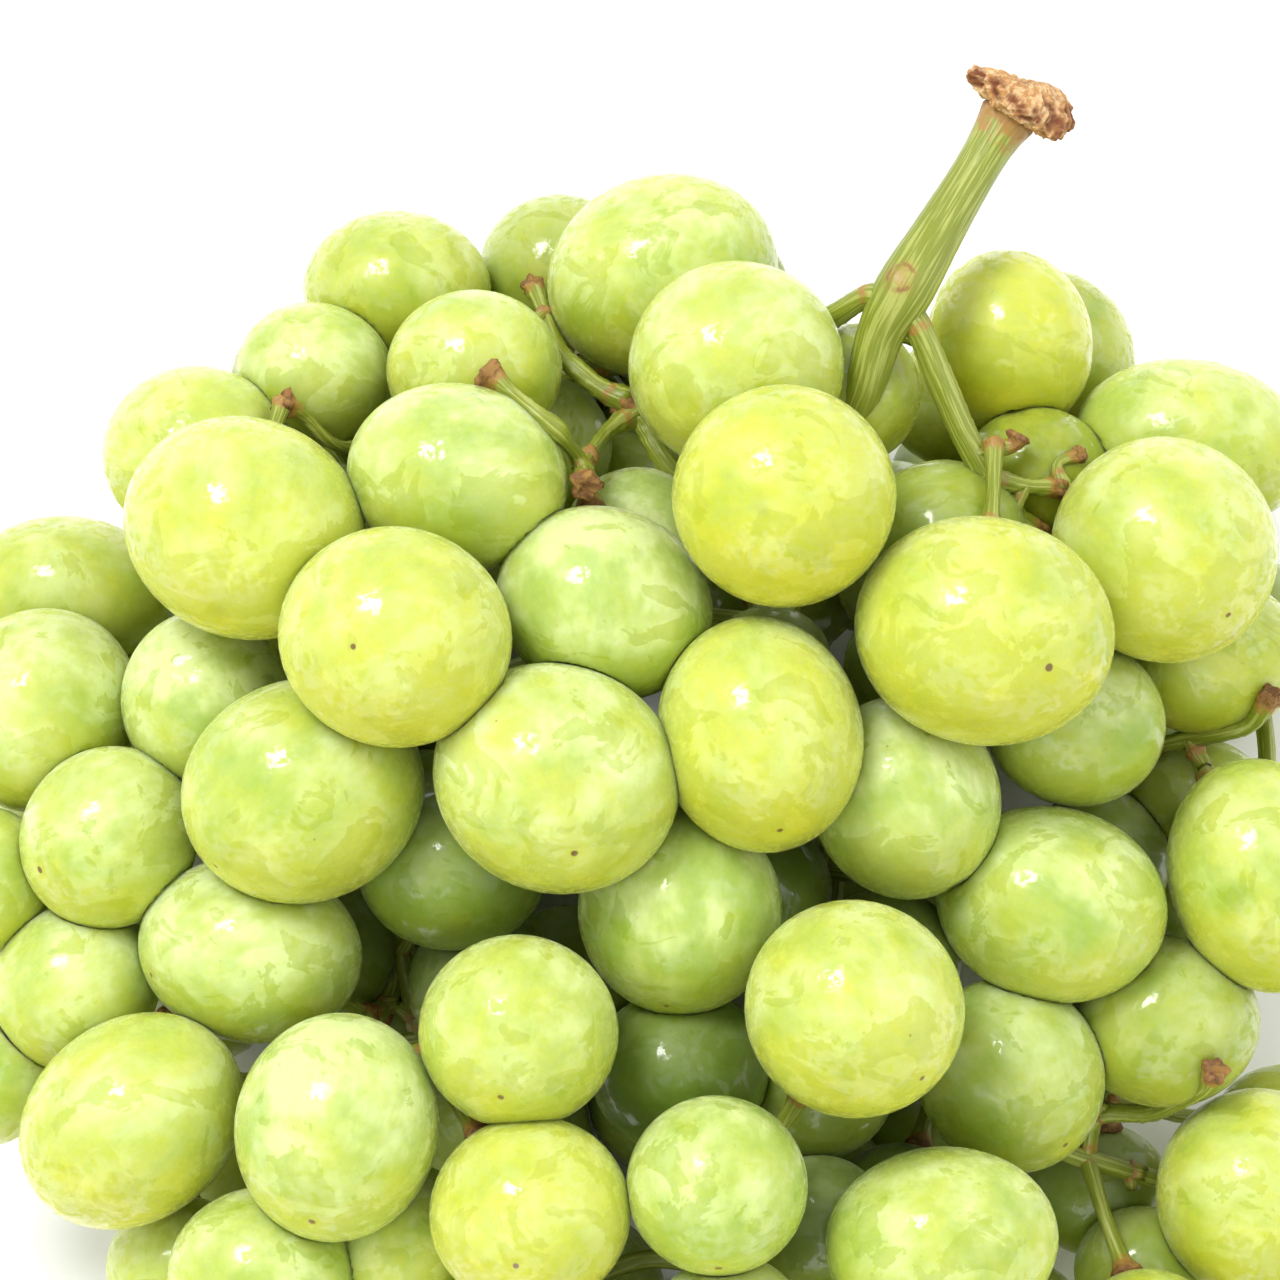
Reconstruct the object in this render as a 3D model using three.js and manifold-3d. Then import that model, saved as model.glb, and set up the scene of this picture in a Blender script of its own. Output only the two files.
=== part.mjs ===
// A bunch of large green table grapes, cut from the vine and lying on its back.
// Millimetres, +Z up. The bunch lies along Y: its thick stem points to +Y and its tip to -Y.
// One tree of green stem runs through it, with a dried brown knob where it was cut, and every
// berry hangs on that tree by its own short stalk. Berries press each other flat where they touch,
// those of one spray are joined there, and a hair's gap stays between sprays and round the stem.
import * as THREE from "three";
import { mergeVertices } from "three/addons/utils/BufferGeometryUtils.js";
import Module from "manifold-3d";

const wasm = await Module();
wasm.setup();

// The face is the side of the bunch that looks up. Places on it are given as a viewer sees them:
// x to the right and y downwards from its upper left corner, and d towards the viewer.
const FACE_MIDDLE = 64;
const FACE_HEIGHT = 74; // of the middle of the face, over the surface that the bunch lies on
const VIEW_DISTANCE = 520; // things deeper in the bunch look smaller by this
const VIEW_ELEVATION = THREE.MathUtils.degToRad(70);
const ORIGIN = [3.6, -18.9]; // the middle of the whole bunch, from the middle of its face

// The front of the face is a shallow dome, longer towards the tip of the bunch.
const DOME = { x: 62, y: 76, halfWidth: 90, halfUp: 88, halfDown: 150, height: 84 };

const PRESS = 2.2; // how far two touching berries are squeezed together
const CLEAR = 0.3; // kept between solids that only touch
const SLIDE = 0.25; // step by which a berry slides back until it finds room
const BEHIND = 1.5; // a berry's middle is at least this far behind one that covers it
const COVERED = 1; // an overlap seen from the front that says which berry is behind
const FACETED = 1.035; // a faceted berry stands out this much, so that its faces lie on the skin
const FEW_FACETED = 1.09; // the same, for the small and the hidden ones, which have fewer faces
const SMALL = 8.8; // a berry of the face with a radius under this is a small one
const FLOOR_FLAT = 0.5; // how far a berry that carries the bunch is flattened underneath

// Berries of the face, nearest the viewer first: middle x and y, half of its longer way, half of its
// shorter way, and the longer way's lean in degrees. Last, where its scar shows, if it does.
const FACE_BERRIES = [
  [78.4, 49.6, 11.2, 11.1, 0],
  [98.4, 63.1, 13.1, 11.5, -12, 104.1, 66.7],
  [39.5, 63.7, 11.7, 11.0, -10, 35.8, 64.7],
  [55.6, 77.8, 12.5, 11.5, -20, 57.6, 85.1],
  [76.0, 73.5, 11.9, 10.3, 100, 77.8, 82.6],
  [24.5, 52.8, 12.4, 11.0, -25],
  [30.3, 79.1, 12.3, 11.1, 20, 22.0, 86.4],
  [85.4, 100.9, 11.1, 10.8, -30, 92.0, 107.4],
  [53.0, 121.3, 10.1, 9.7, 0, 51.8, 125.7],
  [94.1, 124.2, 11.7, 9.5, 5],
  [33.7, 112.7, 11.5, 10.2, 80, 31.6, 121.4],
  [71.7, 118.6, 9.1, 9.0, 0, 71.8, 126.6],
  [13.2, 112.1, 12.0, 10.0, 40, 4.3, 118.5],
  [116.5, 55.0, 11.5, 11.1, -45, 122.1, 61.6],
  [94.3, 54.4, 8.7, 8.4, 0],
  [103.6, 47.6, 7.4, 7.0, 0],
  [126.5, 87.6, 11.9, 9.6, 105],
  [125.8, 119.4, 10.6, 10.2, 90],
  [73.6, 36.6, 10.8, 10.5, 0],
  [60.4, 60.3, 11.0, 9.6, -20],
  [90.5, 79.8, 10.3, 9.5, 110, 95.0, 88.5],
  [91.5, 66.8, 7.2, 6.8, 0],
  [45.7, 47.8, 11.1, 9.4, -10],
  [105.2, 90.4, 11.6, 9.8, -12, 114.0, 96.5],
  [51.8, 103.2, 10.0, 9.7, 0, 50.2, 109.3],
  [68.0, 91.0, 10.5, 10.2, 90, 66.6, 100.5],
  [25.0, 95.0, 11.3, 9.2, -10, 15.7, 97.2],
  [10.9, 83.8, 9.3, 8.8, 60, 4.5, 86.8],
  [107.5, 72.2, 9.1, 8.5, -10],
  [66.2, 27.6, 11.7, 10.1, 17],
  [47.4, 37.0, 8.8, 8.0, 0],
  [119.0, 44.5, 11.8, 8.6, -8],
  [101.0, 34.2, 9.3, 8.3, 100],
  [85.7, 39.3, 7.0, 6.4, 90],
  [95.5, 40.2, 6.9, 6.6, 0],
  [45.2, 86.5, 9.6, 8.6, -5],
  [101.0, 107.5, 9.9, 9.3, -60, 106.2, 114.1],
  [26.2, 127.5, 9.4, 8.7, 0],
  [19.5, 45.2, 9.3, 8.6, 10],
  [20.5, 70.0, 9.0, 8.4, 90],
  [4.0, 71.0, 10.4, 9.8, 60],
  [31.5, 37.5, 7.9, 7.3, -15],
  [7.6, 98.6, 8.7, 8.1, 45, 0.7, 103.7],
  [39.7, 29.0, 9.4, 7.9, 0],
  [116.5, 102.2, 9.5, 8.6, 0],
  [114.8, 133.6, 7.4, 6.7, 0],
  [6.8, 59.2, 10.4, 7.6, -5],
  [68.0, 107.0, 9.0, 8.2, 10],
  [121.0, 65.6, 9.2, 8.0, 0],
  [64.0, 54.3, 7.8, 7.6, 0],
  [56.0, 27.2, 8.1, 7.7, 0],
  [106.0, 35.5, 8.5, 7.4, 110],
  [81.5, 108.5, 8.0, 7.4, 0],
  [73.0, 133.0, 7.9, 7.5, 0],
  [18.3, 126.8, 7.7, 7.2, 0],
  [40.5, 124.5, 8.2, 7.0, 70],
  [134.0, 65.5, 7.6, 7.6, 0],
  [-1.5, 88.0, 7.4, 6.8, 90],
  [-1.5, 108.0, 7.0, 6.6, 0],
  [77.0, 66.5, 6.3, 6.0, 0],
  [109.8, 86.2, 7.4, 7.2, 90],
  [119.8, 79.5, 6.8, 5.7, 0],
  [116.5, 93.5, 7.4, 7.2, 0],
  [114.2, 127.0, 6.8, 6.4, 0],
  [109.8, 119.0, 7.3, 6.7, 0],
  [128.5, 113.8, 7.6, 7.4, 0],
  [82.0, 122.3, 7.0, 6.8, 0],
  [90.0, 121.5, 7.4, 7.2, 0],
  [48.5, 98.5, 7.7, 7.5, 0],
  [32.2, 95.0, 7.5, 7.3, 0],
  [57.0, 97.8, 7.5, 7.3, 0],
  [75.7, 89.0, 7.5, 7.3, 0],
  [88.5, 96.2, 7.6, 7.4, 0],
  [53.6, 44.7, 7.6, 7.4, 0],
  [61.2, 50.0, 7.4, 7.2, 0],
];

// The rest of the bunch is behind the face and beyond it. Its outline, as the viewer sees it:
const OUTLINE = [
  [56, 19], [67, 17], [77, 24], [84, 33], [92, 31], [100, 25], [108, 27], [114, 33], [122, 36],
  [131, 42], [136, 55], [139, 66], [136, 80], [137, 95], [134, 104], [137, 118], [134, 130],
  [126, 142], [114, 156], [100, 170], [84, 182], [70, 187], [56, 182], [42, 168], [28, 150],
  [17, 134], [10, 124], [2, 118], [-5, 112], [-9, 100], [-8, 85], [-7, 68], [-4, 56], [5, 51], [10, 44],
  [18, 36], [24, 33], [30, 22], [40, 21], [48, 21],
];
const HIDDEN = {
  seed: 4711,
  left: -76, // the places that are tried, from the middle of the face
  right: 80,
  tip: -140,
  top: 80,
  pitch: 4,
  outward: 0.02, // at like heights, the middle fills first
  smallest: 9.8,
  largest: 12,
  longer: 1.07, // a berry is this much longer than wide
  behindFace: 13, // how far under the dome a berry stays where the face covers it
  faceBottom: 128,
  sideTaper: 0.35, // the sides draw in towards the surface below
  taperBelow: 24,
  layer: 14, // over the lowest layer, only the sides and the tip hold berries, and stems the middle
  sideDepth: 26,
  most: 56,
};

// The stem, cut end first: x, y and d of each point on the face, and the radius there. Where a
// branch isn't in sight, its points only say about where it runs, and it gives way to the berries.
const STEM = [
  {
    seen: true,
    points: [
      [100.8, 11.7, -25.6, 3.1], [99.9, 13.1, -25.3, 2.6], [98.3, 15.6, -24.9, 2.3],
      [96.7, 18.6, -24.3, 2.35], [93.6, 23.4, -23, 2.7], [90.4, 29, -21, 3.1], [88, 33.5, -21.5, 2.5],
      [86.2, 39.5, -22.5, 2.1], [83.6, 45, -26, 1.9],
    ],
  },
  {
    seen: false,
    points: [
      [80, 53, -31, 1.8], [79, 66, -35, 1.8], [83, 80, -38, 1.8], [82, 94, -38, 1.7],
      [78, 108, -34, 1.6], [75, 122, -32, 1.5], [73, 138, -26, 1.4], [72, 156, -21, 1.2],
    ],
  },
  { seen: true, points: [[87, 29.6, -21.5, 1.3], [83, 31.8, -25, 1.25], [79, 33, -35, 1.2]] },
  { seen: false, points: [[70, 36, -44, 1.2], [58, 37, -46, 1.2], [42, 42, -46, 1.1], [24, 44, -52, 1]] },
  {
    seen: true,
    points: [
      [91.6, 32.5, -21, 1.5], [94, 38, -21, 1.5], [96.2, 43, -21.5, 1.4], [98.8, 47.8, -22, 1.4],
    ],
  },
  { seen: true, points: [[101, 44.6, -22, 0.8], [101.8, 43.7, -22, 1.2]] },
  { seen: true, points: [[99.2, 45.6, -21, 0.7], [99.4, 44.4, -20.6, 0.8]] },
  { seen: true, points: [[102.5, 48.6, -23, 0.8], [106.2, 48.7, -24, 1.2]] },
  { seen: true, points: [[105.8, 46.4, -24.5, 0.6], [108.2, 45.4, -25.5, 0.9]] },
  { seen: true, points: [[96.4, 50, -20.5, 1.1], [94.8, 51.4, -20, 0.8]] },
  { seen: true, points: [[101.6, 51.2, -23.5, 0.9], [104, 53.2, -26, 1.1]] },
  {
    seen: false,
    points: [[108, 60, -38, 1.1], [112, 74, -42, 1.1], [113, 88, -42, 1], [112, 102, -40, 1]],
  },
  { seen: false, points: [[121, 56, -48, 1], [126, 70, -52, 1], [127, 84, -48, 0.9]] },
  {
    seen: true,
    points: [[73, 50, -30, 1.4], [67.5, 47, -28, 1.4], [64.5, 42.5, -29, 1.4], [62.5, 40, -29, 1.6]],
  },
  {
    seen: true,
    points: [
      [60, 38.8, -29, 1.1], [57.5, 36.8, -29.5, 1.1], [56, 35.2, -31, 1], [54.5, 31.5, -35, 0.8],
      [53.2, 28.4, -39, 1.2],
    ],
  },
  { seen: true, points: [[60.5, 43.4, -26, 0.8], [58.4, 46.6, -19, 0.8], [58.6, 48.6, -13, 1.6]] },
  {
    seen: true,
    points: [
      [57.7, 45.6, -17, 0.8], [56.6, 44.2, -15, 0.75], [55.6, 43, -13.5, 1.2], [53.5, 41.2, -13, 0.8],
      [51, 39.2, -15, 0.8], [48.8, 37.2, -15.5, 1.6],
    ],
  },
  {
    seen: false,
    points: [
      [68, 62, -36, 1.2], [54, 66, -36, 1.2], [40, 72, -38, 1.1], [24, 76, -40, 1], [10, 80, -44, 0.9],
    ],
  },
  {
    seen: false,
    points: [
      [72, 96, -37, 1.2], [58, 104, -35, 1.1], [42, 104, -34, 1.1], [26, 108, -34, 1],
      [12, 108, -36, 0.9],
    ],
  },
  { seen: false, points: [[92, 106, -34, 1.1], [104, 114, -33, 1.1], [116, 118, -36, 1]] },
  { seen: false, points: [[64, 126, -31, 1.1], [50, 132, -27, 1], [36, 132, -25, 0.9]] },
  { seen: false, points: [[86, 134, -29, 1], [98, 142, -26, 0.9]] },
  {
    seen: true,
    points: [
      [116, 74.4, -36, 0.9], [119, 73.8, -33.5, 1], [122.5, 73.3, -30.5, 0.9], [125.2, 72.3, -29, 0.9],
      [127.2, 69.4, -26.5, 1.3],
    ],
  },
  { seen: true, points: [[120.2, 76.6, -33, 0.9], [120.8, 78.1, -34.3, 1.7]] },
  {
    seen: true,
    points: [
      [109.8, 111.6, -33, 1], [114.8, 111.3, -31, 1], [117.4, 110.4, -28, 0.9], [120.4, 108.8, -24, 0.9],
      [121.6, 107, -20, 1.4],
    ],
  },
  {
    seen: true,
    points: [[39.6, 93, -37, 0.9], [39.5, 97, -38, 0.9], [38.4, 100.6, -36, 1], [36.6, 101.6, -31, 1.3]],
  },
  { seen: true, points: [[34.4, 44.8, -30, 0.7], [30.4, 41.6, -26, 0.7], [28.2, 40.4, -24.5, 1.5]] },
];
const STEM_SIDES = 5;
const STALK_SIDES = 3;
const GIVE_ROUNDS = 40;

// A berry's own stalk is short, and what it costs to go through other berries, to leave the berry
// on the side of its scar, to leave one of the face in front, or to branch off another stalk, says
// where it starts.
const STALK = { radius: 0.9, foot: 1.3, shortest: 2.5, spacing: 3 };
const STALK_COST = { crossing: 4, againstScar: 12, inFront: 14, onStalk: 2 };

// The dried knob at the cut.
const CUT_END = { radius: 5, thick: 3.2, bevel: 0.5 };
const CUT_OUTLINE = { points: 11, ragged: 0.16 };

const SPRAYS = 14;
const JOIN = { radius: 1, sides: 3, widestGap: 2.5, pressed: 1.6, gapCost: 12 };
const WALL_REACH = 3; // berries further apart than this can't touch
const WALL_ROUNDS = 8;

const right = new THREE.Vector3(1, 0, 0);
const up = new THREE.Vector3(0, Math.sin(VIEW_ELEVATION), Math.cos(VIEW_ELEVATION));
const nearer = new THREE.Vector3(0, -Math.cos(VIEW_ELEVATION), Math.sin(VIEW_ELEVATION));
const faceOrigin = new THREE.Vector3(-ORIGIN[0], -ORIGIN[1], FACE_HEIGHT);

// A place on the face, in the frame of the part.
function fromFace(x, y, d) {
  const spread = 1 - d / VIEW_DISTANCE;
  return faceOrigin
    .clone()
    .addScaledVector(right, (x - FACE_MIDDLE) * spread)
    .addScaledVector(up, (FACE_MIDDLE - y) * spread)
    .addScaledVector(nearer, d);
}

// The inverse: where the viewer sees a point, and how near.
function toFace(point) {
  const from = point.clone().sub(faceOrigin);
  const d = from.dot(nearer);
  const spread = 1 - d / VIEW_DISTANCE;
  const x = FACE_MIDDLE + from.dot(right) / spread;
  const y = FACE_MIDDLE - from.dot(up) / spread;
  return { x, y, d, spread };
}

// How near the viewer a berry's middle may come at a place on the face.
function dome(x, y) {
  const across = (x - DOME.x) / DOME.halfWidth;
  const along = (y - DOME.y) / (y < DOME.y ? DOME.halfUp : DOME.halfDown);
  const inside = Math.max(0, 1 - across * across - along * along);
  return -DOME.height * (1 - Math.sqrt(inside));
}

// Numbers from 0 to 1 that are the same on every run.
function draws(seed) {
  let state = seed;
  return () => {
    state = (state * 16807) % 2147483647;
    return state / 2147483647;
  };
}

// A berry's half size along a unit direction.
function reach(berry, direction) {
  let sum = 0;
  berry.axes.forEach((axis, i) => {
    sum += (direction.dot(axis) / berry.half[i]) ** 2;
  });
  return 1 / Math.sqrt(sum);
}

// How deep two berries are in each other; below zero, they are apart.
function overlap(a, b) {
  const between = b.centre.clone().sub(a.centre);
  const distance = between.length();
  between.divideScalar(distance);
  return reach(a, between) + reach(b, between) - distance;
}

function faceBerry([x, y, long, short, lean, scarX, scarY], d) {
  const spread = 1 - d / VIEW_DISTANCE;
  const turn = THREE.MathUtils.degToRad(lean);
  const longWay = right.clone().multiplyScalar(Math.cos(turn)).addScaledVector(up, Math.sin(turn));
  const shortWay = nearer.clone().cross(longWay);
  const size = Math.sqrt(long * short);
  let scar = null;
  if (scarX !== undefined) {
    const across = (scarX - x) / size;
    const along = (y - scarY) / size;
    scar = right
      .clone()
      .multiplyScalar(across)
      .addScaledVector(up, along)
      .addScaledVector(nearer, Math.sqrt(Math.max(0, 1 - across * across - along * along)));
  }
  return {
    centre: fromFace(x, y, d),
    axes: [longWay, shortWay, nearer.clone()],
    half: [long * spread, short * spread, size * spread],
    radius: size * spread,
    scar,
    onFace: true,
    fine: size > SMALL,
  };
}

// Every berry of the face starts at the dome, behind all that cover it, and slides back until it
// only presses on those before it, or lies on the surface below.
function placeFaceBerries() {
  const placed = [];
  for (const row of FACE_BERRIES) {
    const [x, y, long, short] = row;
    const size = Math.sqrt(long * short);
    let d = dome(x, y);
    for (const other of placed) {
      const apart = Math.hypot(other.x - x, other.y - y);
      if (apart < other.size + size - COVERED) d = Math.min(d, other.d - BEHIND);
    }
    let berry = faceBerry(row, d);
    while (placed.some((other) => overlap(other.berry, berry) > PRESS)) {
      const next = faceBerry(row, d - SLIDE);
      if (next.centre.z < next.radius - FLOOR_FLAT) break;
      d -= SLIDE;
      berry = next;
    }
    placed.push({ berry, x, y, size, d });
  }
  return placed.map((p) => p.berry);
}

// How far inside the outline a place is; below zero, it is outside.
function insideOutline(x, y) {
  let inside = false;
  let nearest = Infinity;
  OUTLINE.forEach(([x1, y1], i) => {
    const [x2, y2] = OUTLINE[(i + 1) % OUTLINE.length];
    if (y1 > y !== y2 > y && x < x1 + ((x2 - x1) * (y - y1)) / (y2 - y1)) inside = !inside;
    const length2 = (x2 - x1) ** 2 + (y2 - y1) ** 2;
    const t = Math.min(1, Math.max(0, ((x - x1) * (x2 - x1) + (y - y1) * (y2 - y1)) / length2));
    nearest = Math.min(nearest, Math.hypot(x - x1 - t * (x2 - x1), y - y1 - t * (y2 - y1)));
  });
  return inside ? nearest : -nearest;
}

// Points along a path of { point, radius }, close enough together to stand for it.
function samples(path) {
  const list = [];
  path.slice(1).forEach((end, i) => {
    const start = path[i];
    const count = Math.max(1, Math.ceil(start.point.distanceTo(end.point) / STALK.spacing));
    for (let k = i === 0 ? 0 : 1; k <= count; k += 1) {
      list.push({
        point: start.point.clone().lerp(end.point, k / count),
        radius: start.radius + ((end.radius - start.radius) * k) / count,
      });
    }
  });
  return list;
}

function nearestOf(list, point) {
  const nearerOne = (a, b) => (b.point.distanceTo(point) < a.point.distanceTo(point) ? b : a);
  return list.reduce(nearerOne);
}

// The branches of the stem. A hidden point moves out of the berries' way, and each branch starts
// at the nearest place on those before it.
function growStem(berries) {
  const branches = [];
  let tree = [];
  for (const { seen, points } of STEM) {
    const path = points.map(([x, y, d, radius]) => ({ point: fromFace(x, y, d), radius }));
    for (let round = 0; round < GIVE_ROUNDS && !seen; round += 1) {
      for (const { point, radius } of path) {
        for (const berry of berries) {
          const away = point.clone().sub(berry.centre);
          const lacking = berry.radius + radius + CLEAR - away.length();
          if (lacking > 0) point.addScaledVector(away.normalize(), lacking);
        }
      }
    }
    if (tree.length) path.unshift({ ...nearestOf(tree, path[0].point) });
    branches.push(path);
    tree = tree.concat(samples(path));
  }
  return { branches, tree };
}

// Whether a berry of this radius may lie here: behind the face, inside the outline, off the stem.
function mayLieHere(point, radius, tree) {
  const seen = toFace(point);
  const taper = Math.max(0, HIDDEN.taperBelow - point.z) * HIDDEN.sideTaper;
  const inward = insideOutline(seen.x, seen.y);
  if (inward < radius / seen.spread - 1 + taper) return false;
  const inFace = seen.y < HIDDEN.faceBottom && seen.x > 0 && seen.x < 2 * FACE_MIDDLE;
  if (seen.d > dome(seen.x, seen.y) - (inFace ? HIDDEN.behindFace : 0)) return false;
  if (inFace && point.z > HIDDEN.layer && inward > HIDDEN.sideDepth) return false;
  return tree.every((s) => s.point.distanceTo(point) > radius + s.radius + CLEAR);
}

// The lowest height at which a ball over this site is clear of the others.
function lowestFree(site, balls) {
  let z = site.radius - FLOOR_FLAT;
  for (let moved = true; moved; ) {
    moved = false;
    let top = z;
    for (const ball of balls) {
      const sum = site.radius + ball.radius - PRESS;
      const beside = (site.x - ball.centre.x) ** 2 + (site.y - ball.centre.y) ** 2;
      if (beside >= sum * sum) continue;
      const half = Math.sqrt(sum * sum - beside);
      if (z > ball.centre.z - half + 1e-6 && z < ball.centre.z + half - 1e-6) {
        top = Math.max(top, ball.centre.z + half);
        moved = true;
      }
    }
    z = top;
  }
  return z;
}

// The berries behind the face heap up from the surface: each goes to the lowest place that is free.
function placeHiddenBerries(face, tree) {
  const draw = draws(HIDDEN.seed);
  const sites = [];
  for (let column = HIDDEN.left; column <= HIDDEN.right; column += HIDDEN.pitch) {
    for (let line = HIDDEN.tip; line <= HIDDEN.top; line += HIDDEN.pitch) {
      const x = column + (draw() - 0.5) * HIDDEN.pitch;
      const y = line + (draw() - 0.5) * HIDDEN.pitch;
      const radius = HIDDEN.smallest + (HIDDEN.largest - HIDDEN.smallest) * draw();
      const outward = HIDDEN.outward * Math.hypot(x, y);
      sites.push({ x: x - ORIGIN[0], y: y - ORIGIN[1], radius, outward, turn: draw() * Math.PI });
    }
  }
  const balls = face.map(({ centre, radius }) => ({ centre, radius }));
  const placed = [];
  while (placed.length < HIDDEN.most) {
    let best = null;
    for (const site of sites) {
      if (site.used) continue;
      const point = new THREE.Vector3(site.x, site.y, lowestFree(site, balls));
      const cost = point.z + site.outward;
      if (best && cost >= best.cost) continue;
      if (mayLieHere(point, site.radius, tree)) best = { site, point, cost };
    }
    if (!best) break;
    best.site.used = true;
    const { radius, turn } = best.site;
    balls.push({ centre: best.point, radius });
    placed.push({
      centre: best.point,
      axes: [
        new THREE.Vector3(Math.cos(turn), Math.sin(turn), 0),
        new THREE.Vector3(-Math.sin(turn), Math.cos(turn), 0),
        new THREE.Vector3(0, 0, 1),
      ],
      half: [radius * HIDDEN.longer, radius, radius],
      radius,
      scar: null,
      onFace: false,
      fine: false,
    });
  }
  return placed;
}

// How much of the other berries a straight stalk would go through.
function crossed(start, end, own, berries) {
  const [sx, sy, sz] = start;
  const along = [end[0] - sx, end[1] - sy, end[2] - sz];
  const length2 = along[0] ** 2 + along[1] ** 2 + along[2] ** 2;
  let sum = 0;
  for (const berry of berries) {
    if (berry === own) continue;
    const { x, y, z } = berry.centre;
    const dot = (x - sx) * along[0] + (y - sy) * along[1] + (z - sz) * along[2];
    const t = Math.min(1, Math.max(0, dot / length2));
    const gap = Math.hypot(x - sx - t * along[0], y - sy - t * along[1], z - sz - t * along[2]);
    sum += Math.max(0, berry.radius + STALK.radius + CLEAR - gap);
  }
  return sum;
}

// The stalk from a berry to one place on the stem, and what it costs in length and crossings.
function stalkTo(place, berry, berries) {
  const way = place.point.clone().sub(berry.centre);
  const distance = way.length();
  way.divideScalar(distance);
  const skin = reach(berry, way) * FACETED + CLEAR;
  const length = distance - skin;
  if (length < STALK.shortest) return null;
  const foot = berry.centre.clone().addScaledVector(way, skin);
  const crossing = crossed(foot.toArray(), place.point.toArray(), berry, berries);
  let cost = length + STALK_COST.crossing * crossing;
  if (berry.scar) cost += STALK_COST.againstScar * Math.max(0, way.dot(berry.scar) + 0.2);
  if (berry.onFace) cost += STALK_COST.inFront * Math.max(0, way.dot(nearer) + 0.5);
  if (place.onStalk) cost += STALK_COST.onStalk;
  return { berry, place, foot, cost };
}

// Stalks grow one at a time, the cheapest first, from the stem or from a stalk that is there.
function growStalks(berries, tree) {
  const best = new Map(berries.map((berry) => [berry, null]));
  const offer = (places) => {
    for (const [berry, held] of best) {
      let choice = held;
      for (const place of places) {
        const stalk = stalkTo(place, berry, berries);
        if (stalk && (!choice || stalk.cost < choice.cost)) choice = stalk;
      }
      best.set(berry, choice);
    }
  };
  offer(tree);
  const stalks = [];
  while (best.size) {
    let next = null;
    for (const stalk of best.values()) {
      if (stalk && (!next || stalk.cost < next.cost)) next = stalk;
    }
    best.delete(next.berry);
    const path = [
      { point: next.place.point, radius: STALK.radius },
      { point: next.foot, radius: STALK.foot },
    ];
    stalks.push(path);
    const places = samples(path).slice(1, -1);
    offer(places.map((s) => ({ ...s, onStalk: true })));
  }
  return stalks;
}

function toSolid(geometry) {
  const plain = geometry.clone();
  plain.deleteAttribute("normal");
  plain.deleteAttribute("uv");
  const merged = mergeVertices(plain, 1e-4);
  return new wasm.Manifold(
    new wasm.Mesh({
      numProp: 3,
      vertProperties: Float32Array.from(merged.attributes.position.array),
      triVerts: Uint32Array.from(merged.index.array),
    }),
  );
}

// A rod through the points of a path, round in section and thicker or thinner as its radii say.
function rod(path, sides, extra) {
  const curve = new THREE.CatmullRomCurve3(path.map((p) => p.point));
  const steps = path.length - 1;
  const frames = { tangents: [], normals: [], binormals: [] };
  path.forEach((p, i) => {
    const tangent = curve.getTangent(i / steps);
    const start = Math.abs(tangent.x) < 0.9 ? right : up;
    const before = frames.normals[i - 1] ?? start;
    const normal = before.clone().addScaledVector(tangent, -before.dot(tangent)).normalize();
    frames.tangents.push(tangent);
    frames.normals.push(normal);
    frames.binormals.push(tangent.clone().cross(normal));
  });
  const geometry = new THREE.CylinderGeometry(1, 1, 1, sides, steps);
  const position = geometry.attributes.position;
  for (let v = 0; v < position.count; v += 1) {
    const i = Math.round((position.getY(v) + 0.5) * steps);
    const end = i === 0 ? -extra : i === steps ? extra : 0;
    const size = path[i].radius + extra;
    const place = path[i].point
      .clone()
      .addScaledVector(frames.tangents[i], end)
      .addScaledVector(frames.normals[i], position.getZ(v) * size)
      .addScaledVector(frames.binormals[i], position.getX(v) * size);
    position.setXYZ(v, place.x, place.y, place.z);
  }
  return toSolid(geometry);
}

function joinAll(solids) {
  let list = solids;
  while (list.length > 1) {
    const next = [];
    for (let i = 0; i < list.length; i += 2) {
      next.push(list[i + 1] ? list[i].add(list[i + 1]) : list[i]);
    }
    list = next;
  }
  return list[0];
}

// A solid without the crumbs that a cut has left beside it.
function largestPiece(solid) {
  return solid.decompose().reduce((a, b) => (b.volume() > a.volume() ? b : a));
}

function stemSolid(branches, stalks, extra) {
  return joinAll([
    ...branches.map((path) => rod(path, STEM_SIDES, extra)),
    ...stalks.map((path) => rod(path, STALK_SIDES, extra)),
  ]);
}

// Sprays: berries that start furthest apart gather the ones that they touch.
function sortIntoSprays(berries) {
  const links = berries.map(() => []);
  berries.forEach((a, i) => {
    for (let j = i + 1; j < berries.length; j += 1) {
      const pressed = overlap(a, berries[j]);
      if (pressed < -JOIN.widestGap) continue;
      const loose = Math.max(0, JOIN.pressed - pressed);
      const distance = a.centre.distanceTo(berries[j].centre) + JOIN.gapCost * loose;
      links[i].push({ to: j, distance });
      links[j].push({ to: i, distance });
    }
  });
  const seeds = [0];
  while (seeds.length < SPRAYS) {
    const room = berries.map((berry) => {
      const distances = seeds.map((seed) => berries[seed].centre.distanceTo(berry.centre));
      return Math.min(...distances);
    });
    seeds.push(room.indexOf(Math.max(...room)));
  }
  const spray = berries.map(() => -1);
  const from = berries.map(() => -1);
  const far = berries.map(() => Infinity);
  seeds.forEach((s, k) => {
    far[s] = 0;
    spray[s] = k;
  });
  const open = new Set(berries.keys());
  while (open.size) {
    let next = -1;
    for (const i of open) if (next < 0 || far[i] < far[next]) next = i;
    open.delete(next);
    for (const { to, distance } of links[next]) {
      if (far[next] + distance >= far[to]) continue;
      far[to] = far[next] + distance;
      spray[to] = spray[next];
      from[to] = next;
    }
  }
  return { spray, from };
}

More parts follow.
